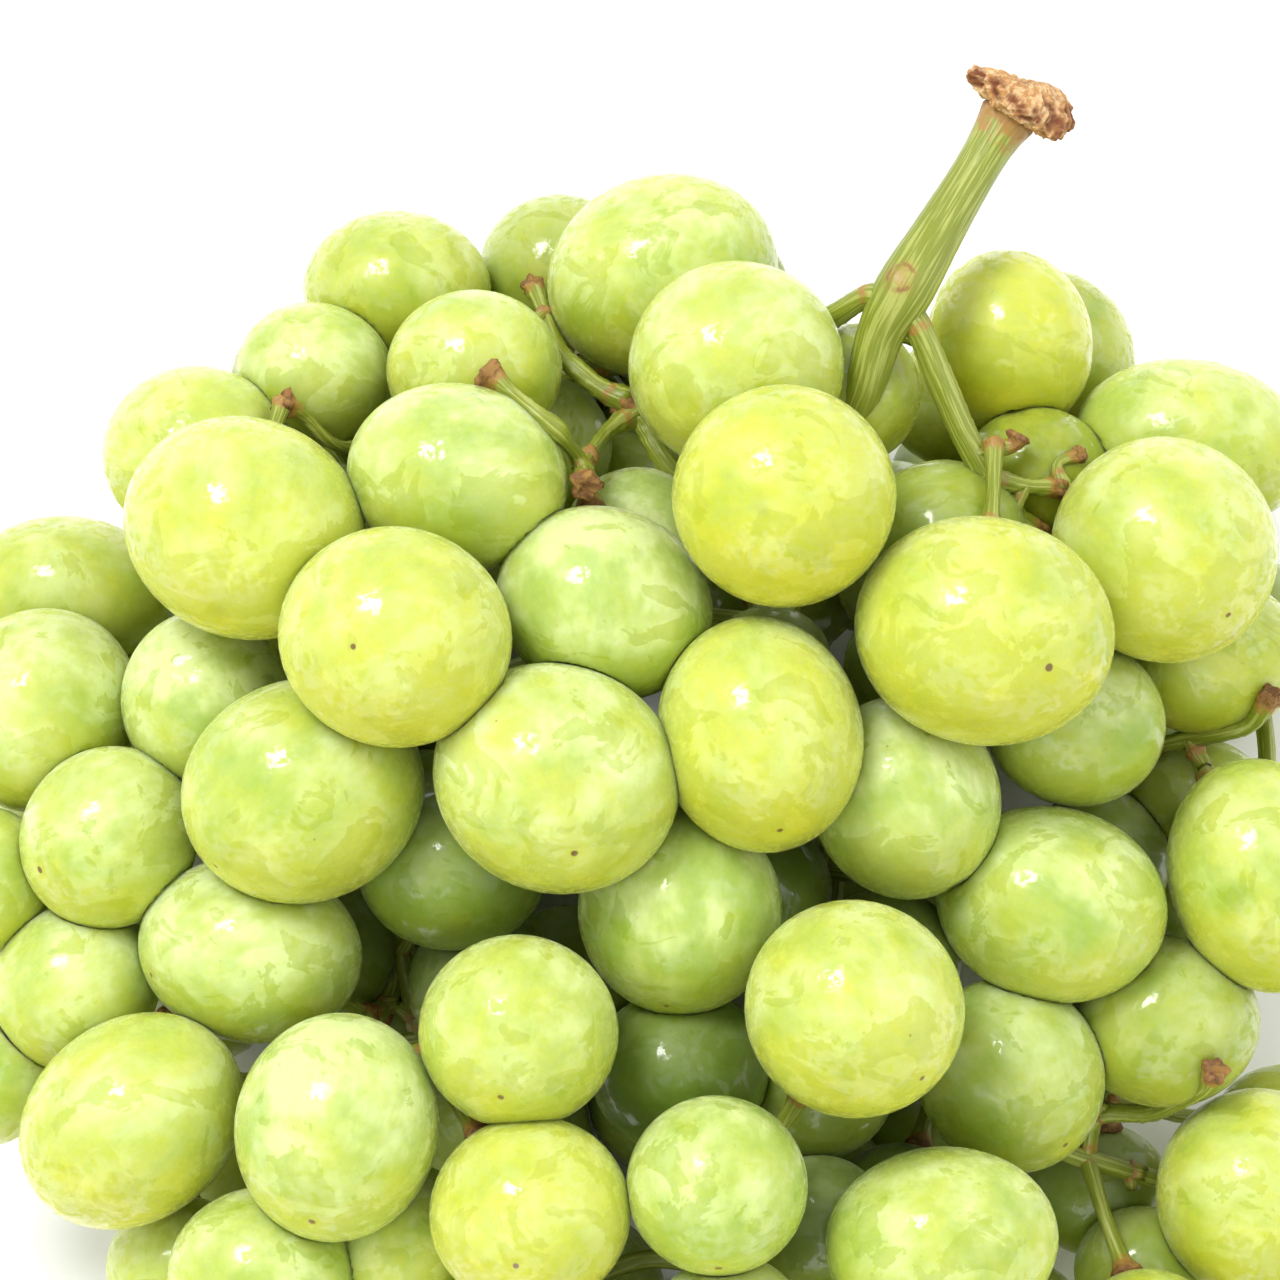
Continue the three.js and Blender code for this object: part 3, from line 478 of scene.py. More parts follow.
def stalk_costs(places, on_stalk):
    """Cost of a stalk from every grape to every place, and its foot on the grape's skin: its length,
    plus what it costs to go through other grapes, against the scar, in front, or from a stalk."""
    way = places[None, :, :3] - grapes["centre"][:, None]
    distance = np.linalg.norm(way, axis=2)
    way /= distance[..., None]
    skin = reach(grapes["axes"][:, None], grapes["half"][:, None], way) * FACETED + CLEAR
    length = distance - skin
    foot = grapes["centre"][:, None] + way * skin[..., None]
    cost = np.empty_like(length)
    for i in range(COUNT):
        along = places[:, :3] - foot[i]
        away = grapes["centre"][None] - foot[i][:, None]
        t = np.clip((away * along[:, None]).sum(2) / (along**2).sum(1)[:, None], 0, 1)
        gap = np.linalg.norm(away - t[..., None] * along[:, None], axis=2)
        into = np.maximum(0, grapes["radius"] + STALK_RADIUS + CLEAR - gap)
        into[:, i] = 0
        cost[i] = length[i] + CROSSING_COST * into.sum(1)
    scar = np.nan_to_num(np.einsum("ijk,ik->ij", way, grapes["scar"]) + 0.2, nan=0.0)
    cost += SCAR_COST * np.maximum(0, scar) + (STALK_COST if on_stalk else 0)
    cost[:len(face)] += FRONT_COST * np.maximum(0, way[:len(face)] @ NEARER + 0.5)
    return np.where(length < SHORTEST, np.inf, cost), foot


def grow_stalks():
    """The cheapest stalk of all grows first, and the places along it are then free to branch from."""
    cost, foot = stalk_costs(tree, False)
    pick = cost.argmin(1)
    rows = np.arange(COUNT)
    best, start, end = cost[rows, pick], tree[pick, :3].copy(), foot[rows, pick].copy()
    stalks = [None] * COUNT
    for _ in range(COUNT):
        i = int(best.argmin())
        path = np.array([[*start[i], STALK_RADIUS], [*end[i], STALK_FOOT]])
        stalks[i] = path
        best[i] = np.inf
        places = samples(path)[1:-1]
        if not len(places):
            continue
        cost, foot = stalk_costs(places, True)
        pick = cost.argmin(1)
        better = (cost[rows, pick] < best) & np.array([s is None for s in stalks])
        best[better] = cost[rows, pick][better]
        start[better] = places[pick, :3][better]
        end[better] = foot[rows, pick][better]
    return stalks


stalks = grow_stalks()
print("stalks are", round(sum(np.linalg.norm(s[1, :3] - s[0, :3]) for s in stalks)), "mm long in all")

# %% [markdown]
# ## Sprays
# The model joins the grapes into sprays, each gathered round one grape that is far from the others'.
# The same rule here says which grapes stand for which node.

# %% Sorting into sprays
SPRAYS = sum(name.startswith("berries_spray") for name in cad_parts)
WIDEST_GAP = 2.5
JOIN_PRESSED = 1.6
GAP_COST = 12.0


def sort_into_sprays():
    """Shortest way from any of the starting grapes, over pairs that touch or nearly do."""
    pressed = np.array([overlaps(berries[i], {k: np.delete(v, i, 0) for k, v in grapes.items()})
                        for i in range(COUNT)])
    between = np.linalg.norm(grapes["centre"][:, None] - grapes["centre"][None], axis=2)
    links = np.full((COUNT, COUNT), np.inf)
    for i in range(COUNT):
        row = np.insert(pressed[i], i, -np.inf)
        touching = row >= -WIDEST_GAP
        links[i, touching] = between[i, touching] + GAP_COST * np.maximum(0, JOIN_PRESSED - row[touching])
    seeds = [0]
    while len(seeds) < SPRAYS:
        seeds.append(int(between[seeds].min(0).argmax()))
    far = np.full(COUNT, np.inf)
    spray = np.full(COUNT, -1)
    far[seeds] = 0
    spray[seeds] = np.arange(SPRAYS)
    is_open = np.ones(COUNT, bool)
    while is_open.any():
        i = int(np.argmin(np.where(is_open, far, np.inf)))
        is_open[i] = False
        closer = far[i] + links[i] < far
        far[closer] = (far[i] + links[i])[closer]
        spray[closer] = spray[i]
    return spray


spray = sort_into_sprays()
print("grapes in each spray:", np.bincount(spray).tolist())

# %% [markdown]
# ## The surface of a grape
# A grape could be a scaled sphere, but spheres that touch would cut into each other. Here each one
# is a surface of two parameters: the way from the stalk to the scar, and the way round. Along each
# direction the skin lies at the ellipsoid's radius or at the skin of a neighbour that presses into
# it, whichever is less, with a soft edge between the two. Of two that press, the one nearer the
# viewer stays round, as its whole outline shows, and the other takes the dent.

# %% Turning arrays into pieces
def to_piece(name, points, faces, attributes):
    """A mesh from points in millimetres and faces of four or three corners, with an attribute on
    every point for each entry, a vector where the entry has three columns."""
    mesh = bpy.data.meshes.new(name)
    mesh.from_pydata((points * MM).tolist(), [], faces)
    for key, values in attributes.items():
        kind, field = ("FLOAT_VECTOR", "vector") if values.ndim == 2 else ("FLOAT", "value")
        layer = mesh.attributes.new(key, kind, "POINT")
        layer.data.foreach_set(field, np.ascontiguousarray(values, np.float32).ravel())
    mesh.polygons.foreach_set("use_smooth", np.ones(len(mesh.polygons), bool))
    mesh.update()
    piece = bpy.data.objects.new(name, mesh)
    bpy.context.scene.collection.objects.link(piece)
    return piece


def closed_faces(rings, around):
    """Faces of a closed surface: a first point, rings of points, and a last point."""
    ring = 1 + np.arange(rings)[:, None] * around
    here = np.arange(around)
    there = (here + 1) % around
    quads = np.stack([ring[:-1] + here, ring[1:] + here, ring[1:] + there, ring[:-1] + there], -1)
    last = 1 + rings * around
    fan_in = np.stack([np.zeros(around, int), 1 + here, 1 + there], -1)
    fan_out = np.stack([last - around + there, last - around + here, np.full(around, last)], -1)
    return quads.reshape(-1, 4).tolist() + fan_in.tolist() + fan_out.tolist()


def gathered(parts):
    """Several lists of (points, faces, attributes) as one."""
    shift = np.cumsum([0] + [len(p) for p, _, _ in parts])
    points = np.concatenate([p for p, _, _ in parts])
    faces = [[c + int(s) for c in f] for (_, fs, _), s in zip(parts, shift) for f in fs]
    keys = parts[0][2]
    return points, faces, {k: np.concatenate([a[k] for _, _, a in parts]) for k in keys}


def unit(v):
    """A vector or an array of them, at length one."""
    return v / np.linalg.norm(v, axis=-1, keepdims=True)


def square_to(axis):
    """Two unit directions square to a unit axis and to each other."""
    start = RIGHT if abs(axis[0]) < 0.9 else UP
    first = unit(start - axis * (start @ axis))
    return first, np.cross(axis, first)


# %% Skins
FINE = (50, 64)  # rings and points round a grape of the face
PLAIN = (24, 32)  # the same for one that is hidden
SOFTNESS = 90  # the higher, the sharper the edge of a pressed flat
CREASE = 0.05  # the hair's gap left between two skins
FAR_AWAY = 1e3  # stands for a neighbour that a direction misses
IRREGULAR = 0.008  # no grape is a perfect ellipsoid
NAVEL = 0.28  # depth of the dent round the scar
NO_SCAR = 40.0  # a distance from the scar that no point of a skin has
rng = np.random.default_rng(20)
moods = rng.random((COUNT, 8))


def dents_in(i, way):
    """Distance from a grape's centre to the skin of each neighbour that dents it: the least t for
    which centre + t way, in the neighbour's axes over its halves, has length one. That is a
    quadratic in t."""
    offset = grapes["centre"][i] - grapes["centre"][:i]
    first = np.flatnonzero(np.linalg.norm(offset, axis=1) < grapes["half"][:i].max(1) + grapes["half"][i].max())
    scaled = grapes["axes"][first] / grapes["half"][first][:, :, None]
    start = np.einsum("kij,kj->ki", scaled, offset[first])
    ahead = np.einsum("kij,nj->nki", scaled, way)
    a, b, c = (ahead**2).sum(2), (ahead * start).sum(2), (start**2).sum(1) - 1
    inside = b**2 - a * c
    meets = (inside > 0) & (b < 0) & (c > 0)
    return np.where(meets, (-b - np.sqrt(np.maximum(inside, 0))) / a - CREASE, FAR_AWAY)


def skin(i):
    """Radius = (sum of each limit to the power -p) to the power -1/p, which is close to the least
    limit. The limits are the ellipsoid, made slightly uneven, the skins that dent it, and the
    surface below, at the centre's height over the cosine between down and this direction."""
    rings, around = FINE if i < len(face) else PLAIN
    centre, axes, half = (grapes[k][i] for k in ("centre", "axes", "half"))
    scar = grapes["scar"][i]
    marked = not np.isnan(scar[0])
    pole = scar if marked else unit(centre - stalks[i][1, :3])
    first, second = square_to(pole)
    polar = np.pi * np.arange(1, rings + 1) / (rings + 1)
    turn = 2 * np.pi * np.arange(around) / around
    side = np.cos(turn)[:, None] * first + np.sin(turn)[:, None] * second
    body = np.cos(polar)[:, None, None] * -pole + np.sin(polar)[:, None, None] * side
    way = np.concatenate([[-pole], body.reshape(-1, 3), [pole]])
    mood = moods[i]
    lumps = np.sin(2.1 * way @ first + 6 * mood[0]) * np.cos(2.7 * way @ second + 6 * mood[1])
    from_scar = np.arccos(np.clip(way @ pole, -1, 1)) * half.mean()
    limit = reach(axes, half, way) * (1 + IRREGULAR * lumps) - NAVEL * np.exp(-((from_scar / 1.3) ** 2))
    below = centre[2] / np.maximum(-way[:, 2], 1e-3)
    limits = np.column_stack([limit, below, dents_in(i, way)])
    radius = (limits ** -SOFTNESS).sum(1) ** (-1 / SOFTNESS)
    points = centre + way * radius[:, None]
    points[:, 2] = np.maximum(points[:, 2], 0)
    attributes = {
        "grape_place": way * half.mean() + 40 * mood[2:5],
        "grape_round": np.column_stack([way @ first, way @ second, way @ pole]) + 7 * mood[5],
        "grape_scar": from_scar if marked or i >= len(face) else np.full(len(way), NO_SCAR),
        # 0 on the side facing up and towards the viewer, where the light comes from, and 1 underneath: the skin paints
        # light and shade by it
        "grape_away_from_light": 0.5 - 0.5 * (way @ unit(UP + 0.35 * NEARER)),
        "grape_tone": np.full(len(way), tone_of(i)),
        # painted shade: how much darker a grape deep in the bunch is painted
        "grape_shade": np.full(len(way), shade_of(i)),
        "grape_bloom": np.full(len(way), bloom_of(i)),
    }
    return points, closed_faces(rings, around), attributes


# %% [markdown]
# ## How ripe, how waxy and how deep in painted shade
# Neighbouring grapes differ: some are yellow and clear, some green and clouded by wax, and those
# further inside are painted darker, as painted shade. These are read from the photo: a grape of the
# face is named by its place in the table, and the others get a draw of their own, or, for the shade,
# how far they lie behind the dome.

# %% Ripeness, shade and bloom
YELLOW = {0: 0.95, 1: 0.8, 2: 0.85, 3: 0.55, 4: 0.8, 5: 0.8, 6: 0.55, 7: 0.7, 8: 0.9, 9: 0.4, 10: 0.3,
          11: 0.15, 12: 0.75, 13: 0.75, 14: 0.5, 15: 0.7, 16: 0.55, 17: 0.75, 18: 0.6, 19: 0.3, 20: 0.25,
          21: 0.3, 22: 0.35, 23: 0.35, 24: 0.5, 25: 0.2, 26: 0.3, 27: 0.45, 28: 0.3, 29: 0.5, 30: 0.55,
          31: 0.5, 32: 0.95, 33: 0.6, 34: 0.8, 35: 0.1, 36: 0.35, 37: 0.45, 38: 0.65, 39: 0.25, 40: 0.6,
          41: 0.4, 42: 0.5, 43: 0.7, 44: 0.5, 45: 0.6, 46: 0.65, 47: 0.1, 48: 0.6, 49: 0.15, 50: 0.7,
          51: 0.75}
WAXY = {0: 0.3, 1: 0.35, 2: 0.5, 3: 0.7, 4: 0.45, 5: 0.45, 6: 0.55, 7: 0.5, 8: 0.4, 9: 0.55, 10: 0.75,
        11: 0.6, 12: 0.5, 13: 0.5, 14: 0.3, 15: 0.1, 16: 0.45, 17: 0.45, 18: 0.6, 19: 0.8, 20: 0.75,
        21: 0.8, 22: 0.65, 23: 0.6, 24: 0.55, 25: 0.7, 26: 0.75, 27: 0.65, 28: 0.65, 29: 0.6, 30: 0.5,
        31: 0.6, 32: 0.25, 33: 0.5, 34: 0.4, 35: 0.5, 36: 0.6, 37: 0.6, 38: 0.5, 39: 0.85, 40: 0.75,
        41: 0.7, 42: 0.65, 43: 0.4, 44: 0.5, 45: 0.3, 46: 0.5, 47: 0.4, 48: 0.4, 49: 0.8, 50: 0.45,
        51: 0.4}
# Painted shade: how much darker each grape deep in the bunch is painted, read from the photo.
PAINTED_DEPTH_SHADE = {14: 0.35, 15: 0.4, 21: 0.4, 28: 0.15, 33: 0.2, 34: 0.25, 35: 0.35, 36: 0.15, 44: 0.25, 47: 0.65,
        52: 0.6, 53: 0.3, 59: 0.6, 60: 0.5, 61: 0.25, 62: 0.35, 63: 0.3, 64: 0.4, 66: 0.65, 67: 0.65,
        68: 0.6, 69: 0.6, 70: 0.65, 71: 0.6, 72: 0.65}
# Painted shade for the other grapes grows with their depth behind the dome.
SHADE_FROM = 22.0  # how far behind the dome a grape begins to look darker
SHADE_OVER = 50.0
depth_behind = dome(*to_face(grapes["centre"])[:2]) - to_face(grapes["centre"])[2]


def tone_of(i):
    """Ripeness from 0, green, to 1, yellow: the measured one, or a draw."""
    return YELLOW.get(i, 0.3 + 0.4 * moods[i, 6])


def bloom_of(i):
    """How much wax is on a skin, from 0 to 1: the measured one, or a draw."""
    return WAXY.get(i, 0.45 + 0.3 * moods[i, 7])


def shade_of(i):
    """How much painted shade darkens a grape: the measured one, or how far it is behind the dome over a fixed depth."""
    return PAINTED_DEPTH_SHADE.get(i, float(np.clip((depth_behind[i] - SHADE_FROM) / SHADE_OVER, 0, 0.5)))


# %% Making the sprays of grapes
spray_pieces = []
for k in range(SPRAYS):
    points, faces, attributes = gathered([skin(i) for i in np.flatnonzero(spray == k)])
    piece = to_piece(f"grapes_{k + 1:02d}", points, faces, attributes)
    spray_pieces.append(piece)
print("grape faces:", sum(len(p.data.polygons) for p in spray_pieces))

# %% [markdown]
# ## The surface of a stem
# A stem is a profile carried along a path. The profile isn't a circle: a fresh grape stem has ridges
# that run along it, it swells at its nodes, and it is covered in small lumps where it dries. The
# radius is worked out for the whole grid of places along and round the stem at once.

# %% Carrying a profile along a path
OLD_SCAR = from_face(90.0, 27.6, -17.9)  # a shoot has left a round scar on the front of the first node
SCAR_ROUND = 1.5
SCAR_SWELLS = 0.2
ROUND_END = 0.35  # how far a stem's end is drawn out, over its radius
CROWN_REACH = 0.9


def smooth_path(path, step):
    """A Catmull-Rom curve through rows of x, y, z and radius, with rows about a step apart."""
    padded = np.concatenate([[2 * path[0] - path[1]], path, [2 * path[-1] - path[-2]]])
    rows = []
    for a, b, c, d in zip(padded[:-3], padded[1:-2], padded[2:-1], padded[3:]):
        count = max(2, math.ceil(np.linalg.norm(c[:3] - b[:3]) / step))
        t = (np.arange(count) / count)[:, None]
        rows.append(0.5 * (2 * b + (c - a) * t + (2 * a - 5 * b + 4 * c - d) * t**2
                           + (3 * b - a - 3 * c + d) * t**3))
    return np.concatenate([*rows, path[-1:]])


def frames_along(points):
    """Unit tangents, and two directions square to each that turn as little as they can."""
    tangent = unit(np.gradient(points, axis=0))
    first = np.empty_like(points)
    carried = square_to(tangent[0])[0]
    for i, t in enumerate(tangent):
        carried = unit(carried - t * (carried @ t))
        first[i] = carried
    return tangent, first, np.cross(tangent, first)


def waves(s, turn, mood, ridges, depth, roughness):
    """Ridges that run along, plus lumps: products of sines along and round."""
    along = np.cos(ridges * turn + 2 * mood) + 0.5 * np.cos((2 * ridges + 1) * turn + 4 * mood)
    lumps = np.sin(2.3 * s + 4 * mood) * np.cos(3 * turn + 1.7 * s) + np.sin(5.1 * s) * np.cos(5 * turn - 2 * s)
    return depth * along + roughness * lumps


def stem_surface(path, sides, step, mood, ridges, depth, roughness, browns=(), crown=0.0):
    """Profile radius = path radius times (1 + waves), closed by a rounded end at both sides. browns
    are (place from 0 to 1 along the path, reach in mm, strength) of the dried, brown stretches. A
    crown is the depth of five lobes round a far end that is hollow, where a grape has come off."""
    rows = smooth_path(path, step)
    centre, size = rows[:, :3], np.maximum(rows[:, 3], 0.3)
    tangent, first, second = frames_along(centre)
    s = np.concatenate([[0], np.cumsum(np.linalg.norm(np.diff(centre, axis=0), axis=1))])
    turn = 2 * np.pi * np.arange(sides) / sides
    radius = size[:, None] * (1 + waves(s[:, None], turn, mood, ridges, depth, roughness))
    lobes = np.exp(-(((s[-1] - s) / CROWN_REACH) ** 2))[:, None] * np.cos(5 * turn + 6 * mood)
    radius = radius * (1 + crown * lobes)
    out = np.cos(turn)[None, :, None] * first[:, None] + np.sin(turn)[None, :, None] * second[:, None]
    ring = centre[:, None] + radius[..., None] * out
    scarred = np.linalg.norm(ring - OLD_SCAR, axis=2)
    ring += out * (SCAR_SWELLS * np.exp(-((scarred / SCAR_ROUND) ** 4)))[..., None]
    start = ring[0].mean(0) + 0.75 * (ring[0] - ring[0].mean(0)) - tangent[0] * size[0] * ROUND_END
    end = ring[-1].mean(0) + 0.75 * (ring[-1] - ring[-1].mean(0)) + tangent[-1] * size[-1] * ROUND_END
    hollow = -0.5 if crown else 0.5
    tips = centre[0] - tangent[0] * size[0] * 0.5, centre[-1] + tangent[-1] * size[-1] * hollow
    points = np.concatenate([[tips[0]], start, ring.reshape(-1, 3), end, [tips[1]]])
    place = np.concatenate([[0], np.zeros(sides), np.repeat(s, sides), np.full(sides, s[-1]), [s[-1]]])
    around = np.concatenate([[0], turn, np.tile(turn, len(s)), turn, [0]])
    brown = np.zeros(len(points))
    for at, over, strength in browns:
        brown = np.maximum(brown, strength * np.exp(-(((place - at * s[-1]) / over) ** 2)))
    girth = size.mean()
    attributes = {
        "stem_brown": brown,
        "stem_round": np.column_stack([np.cos(around) * girth, np.sin(around) * girth, place + 30 * mood]),
        "stem_scar": np.linalg.norm(points - OLD_SCAR, axis=1),
    }
    return points, closed_faces(len(s) + 2, sides), attributes


# %% [markdown]
# ## The tree of stems
# The cut stalk carries everything, so it is the finest: forty-eight points round, with shallow
# ridges. Branches get fewer, and a grape's stalk the fewest. A stalk flares into a brown, ringed disc
# where it holds the grape, every fork is swollen and has dried brown, and a stub that has lost its
# grape ends in a brown knob.

# %% Branches and stalks
STEM_DETAIL = {"cut": (48, 0.4), "seen": (22, 0.45), "hidden": (12, 1.2), "stalk": (10, 0.8)}
DISC = 1.85  # radius of the disc that holds a grape
NECK = 0.78  # radius of a stalk halfway along
FORK_SHOWS = 1.2  # a branch comes out of the one it grows from this many of its radii along
stem_moods = rng.random(len(branches) + COUNT)


def branch_surface(i):
    """The measured path of a branch, brown at its fork, and more so where it widens to a stub's end."""
    seen = STEM[i][0]
    mood = stem_moods[i]
    if i == 0:
        straight = branches[i].copy()
        straight[1:5] = (branches[i][:4] + 2 * branches[i][1:5] + branches[i][2:6]) / 4
        return stem_surface(straight, *STEM_DETAIL["cut"], mood, 9, 0.009, 0.004,
                            [(0.0, 3.6, 0.6), (0.0, 1.2, 0.9)])
    if not seen:
        return stem_surface(branches[i], *STEM_DETAIL["hidden"], mood, 4, 0.05, 0.03, [(0.0, 1.2, 0.45)])
    stub = branches[i][-1, 3] > branches[i][-2, 3]
    length = np.linalg.norm(np.diff(branches[i][:, :3], axis=0), axis=1).sum()
    fork = min(0.5, FORK_SHOWS * branches[i][0, 3] / length)
    browns = [(fork, 0.6, 0.4)] + [(1.0, 1.7, 0.95)] * stub
    return stem_surface(branches[i], *STEM_DETAIL["seen"], mood, 4, 0.03, 0.08 if stub else 0.03, browns,
                        0.22 * stub)


def stalk_surface(i):
    """From the fork, swollen, through a thin neck to a disc on the grape's skin, which the last
    stretch reaches."""
    start, end = stalks[i][0, :3], stalks[i][1, :3]
    way = unit(end - start)
    length = np.linalg.norm(end - start)
    side, _ = square_to(way)
    bend = 0.06 * length * (stem_moods[len(branches) + i] - 0.5)
    skin_at = reach(grapes["axes"][i], grapes["half"][i], -way)
    last = grapes["centre"][i] - way * (skin_at - 0.15)
    total = np.linalg.norm(last - start)
    shape = [(0, 1.25), (0.12, 1.0), (0.5, NECK), (1 - 2.4 / total, 0.95), (1 - 1.0 / total, DISC * 0.82),
             (1 - 0.35 / total, DISC), (1, DISC * 0.8)]
    t = np.clip([at for at, _ in shape], 0, 1)
    t = np.maximum.accumulate(t + np.arange(len(shape)) * 1e-3)
    points = start + (last - start) * t[:, None] + side * (bend * np.sin(np.pi * np.clip(t, 0, 1)))[:, None]
    path = np.column_stack([points, [r for _, r in shape]])
    sides, step = STEM_DETAIL["stalk"]
    return stem_surface(path, sides, step, stem_moods[len(branches) + i], 3, 0.05, 0.05,
                        [(0.0, 1.2, 0.6), (1.0, 1.8, 1.0)])


points, faces, attributes = gathered(
    [branch_surface(i) for i in range(len(branches))] + [stalk_surface(i) for i in range(COUNT)]
)
stem_piece = to_piece("stem_tree", points, faces, attributes)
print("stem faces:", len(stem_piece.data.polygons))

# %% [markdown]
# ## The dried cut
# Where the bunch was cut off the vine, the stalk has dried into a brown, flared, torn knob. It is a
# closed disc whose rim is pushed in and out, and whose faces are broken up into fibres.

# %% A torn knob
KNOB_RADIUS = 5.3
KNOB_THICK = 4.1
KNOB_GRID = (60, 200)
KNOB_LEANS = 0.4  # towards the viewer, from square to the stem
KNOB_TORN = 0.15
CREASES = 9
FLAP_REACH = 0.55  # how far round the hanging flap goes, in radians
FOLDS = unit(np.array([[1.0, 0.3, 0.2], [-0.2, 1.0, 0.5], [0.4, -0.5, 1.0], [0.9, 0.8, -0.3],
                       [-0.7, 0.2, 0.9], [0.3, 0.9, -0.8]]))


def crumpled(points):
    """Creases: the sum of 1 - 2 |sin| of the place along skew directions, each finer and weaker."""
    fold = np.zeros(points.shape[:-1])
    for n in range(CREASES):
        way, across = FOLDS[n % len(FOLDS)], FOLDS[(n + 2) % len(FOLDS)]
        bent = points @ way * (1.0 + 0.5 * n) + 1.2 * np.sin(points @ across * 1.4 + n)
        fold += (1 - 2 * np.abs(np.sin(bent + 2 * n))) / (1.3 + 0.5 * n)
    return fold / 2


def torn_knob():
    """A profile from the underside's middle, over the rim, to the top's middle, turned about the
    stem's direction. Sums of sines of the turn tear the rim, one side is thicker and hangs down in a
    flap, and creases push the whole surface in and out."""
    rings, around = KNOB_GRID
    first_point, second_point = branches[0][0, :3], branches[0][1, :3]
    axis = unit(unit(first_point - second_point) + KNOB_LEANS * NEARER)
    side, other = square_to(axis)
    thick_side = RIGHT - 0.5 * UP
    flap_at = math.atan2(thick_side @ other, thick_side @ side)
    t = np.arange(1, rings + 1)[:, None] / (rings + 1)
    turn = (2 * np.pi * np.arange(around) / around)[None]
    off_flap = np.angle(np.exp(1j * (turn - flap_at)))
    flap = np.exp(-((off_flap / FLAP_REACH) ** 2))
    torn = (np.sin(3 * turn + 1) * np.cos(5 * turn) + 0.6 * np.abs(np.sin(5.5 * turn + 2))
            + 0.5 * np.sin(13 * turn + 4 * np.sin(2 * turn)))
    out = np.sin(np.pi * t) ** 0.42
    rim = out**6
    radius = KNOB_RADIUS * out * (1 + KNOB_TORN * torn * rim)
    thick = KNOB_THICK * (1 + 0.22 * np.cos(off_flap))
    height = CLEAR + thick * (0.5 - 0.5 * np.cos(np.pi * t)) ** 1.1
    curl = 0.4 * np.sin(2 * turn + 0.6) + 0.3 * np.sin(5 * turn + 1.3)
    height = height + curl * rim - 1.7 * flap * rim * (0.5 + 0.5 * np.cos(np.pi * t))
    turned = np.cos(turn)[..., None] * side + np.sin(turn)[..., None] * other
    ring = first_point + axis * height[..., None] + radius[..., None] * turned
    fold = crumpled(ring) * out
    outward = unit(turned * np.sin(np.pi * t)[..., None] - axis * np.cos(np.pi * t)[..., None])
    ring = ring + outward * (0.55 * fold[..., None])
    tips = first_point + axis * (CLEAR - 0.5), first_point + axis * (CLEAR + KNOB_THICK - 0.8)
    points = np.concatenate([[tips[0]], ring.reshape(-1, 3), [tips[1]]])
    across = np.concatenate([[0], (radius * np.ones_like(turn)).ravel(), [0]])
    attributes = {
        "knob_across": across,
        "knob_turn": np.concatenate([[0], np.tile(turn[0], rings), [0]]),
        "knob_fold": np.concatenate([[0], fold.ravel(), [0]]),
    }
    return points, closed_faces(rings, around), attributes


knob_piece = to_piece("dried_knob", *torn_knob())
print("knob faces:", len(knob_piece.data.polygons))

# %% [markdown]
# ## Materials
# A grape's skin is thin and its flesh lets light in, so its colour comes from light that scatters
# inside: subsurface scattering over a few millimetres. On the skin lies a whitish wax, the bloom,
# which hands and neighbours rub off in patches. Where it is gone the skin is yellower and glossy.
# The colour also holds painted light: yellow light painted on each grape's underside as if it shone
# through, the wax painted whiter on its lit top, rubbed patches painted more often underneath as
# shade, and painted shade on grapes deep in the bunch.

# %% A helper for shader nodes
def shade(tree, kind, inputs=None, **settings):
    """Adds a shader node. An input that is given a socket is linked, and any other gets the value."""
    node = tree.nodes.new(kind)
    for name, value in settings.items():
        setattr(node, name, value)
    for key, value in (inputs or {}).items():
        if isinstance(value, bpy.types.NodeSocket):
            tree.links.new(value, node.inputs[key])
        else:
            node.inputs[key].default_value = value
    return node


def attribute(tree, name, field="Fac"):
    """The socket of an attribute that the mesh carries."""
    return shade(tree, "ShaderNodeAttribute", attribute_name=name).outputs[field]


def maths(tree, operation, *values, clamp=False):
    """One arithmetic step on sockets or numbers."""
    inputs = dict(enumerate(values))
    return shade(tree, "ShaderNodeMath", inputs, operation=operation, use_clamp=clamp).outputs[0]


def ramp(tree, value, low, high, out_low=0.0, out_high=1.0):
    """A smooth step of a value between low and high."""
    inputs = {"Value": value, "From Min": low, "From Max": high, "To Min": out_low, "To Max": out_high}
    return shade(tree, "ShaderNodeMapRange", inputs, interpolation_type="SMOOTHSTEP").outputs["Result"]


def noise(tree, place, scale, detail=3.0, roughness=0.5, distortion=0.0):
    """Fractal noise at a place, in the place's own units."""
    inputs = {"Vector": place, "Scale": scale, "Detail": detail, "Roughness": roughness,
              "Distortion": distortion}
    return shade(tree, "ShaderNodeTexNoise", inputs).outputs["Fac"]


def blend(tree, amount, first, second, mode="MIX"):
    """A mix of two colours."""
    node = shade(tree, "ShaderNodeMix", data_type="RGBA", blend_type=mode)
    for socket, value in ((node.inputs[0], amount), (node.inputs[6], first), (node.inputs[7], second)):
        if isinstance(value, bpy.types.NodeSocket):
            tree.links.new(value, socket)
        else:
            socket.default_value = value
    return node.outputs[2]


def new_material(name):
    """An empty material with its output, and the node tree to build in."""
    material = bpy.data.materials.new(name)
    material.use_nodes = True
    material.node_tree.nodes.clear()
    return material, material.node_tree


def finish_material(tree, surface):
    """Links a surface shader to the output."""
    out = tree.nodes.new("ShaderNodeOutputMaterial")
    tree.links.new(surface, out.inputs["Surface"])


# %% Grape skin
GREEN_FLESH = (0.27, 0.42, 0.018, 1)
YELLOW_FLESH = (0.55, 0.58, 0.026, 1)
# painted light: the yellow of light shining through a grape's underside
PAINTED_GLOW = (0.50, 0.46, 0.006, 1)
# the darker green of rubbed skin, which also paints shade on the underside
RUBBED_AND_SHADE_GREEN = (0.27, 0.34, 0.006, 1)
WAX = (0.63, 0.72, 0.32, 1)
# the dark green of painted shade on grapes deep in the bunch
PAINTED_SHADE_FLESH = (0.055, 0.11, 0.005, 1)
SPECK = (0.15, 0.055, 0.015, 1)
SCATTER_DEPTH = 0.005
SCATTER = (1.0, 0.85, 0.22)


def centred(tree, value, by):
    """by times (value - 0.5)."""
    return maths(tree, "MULTIPLY", maths(tree, "SUBTRACT", value, 0.5), by)


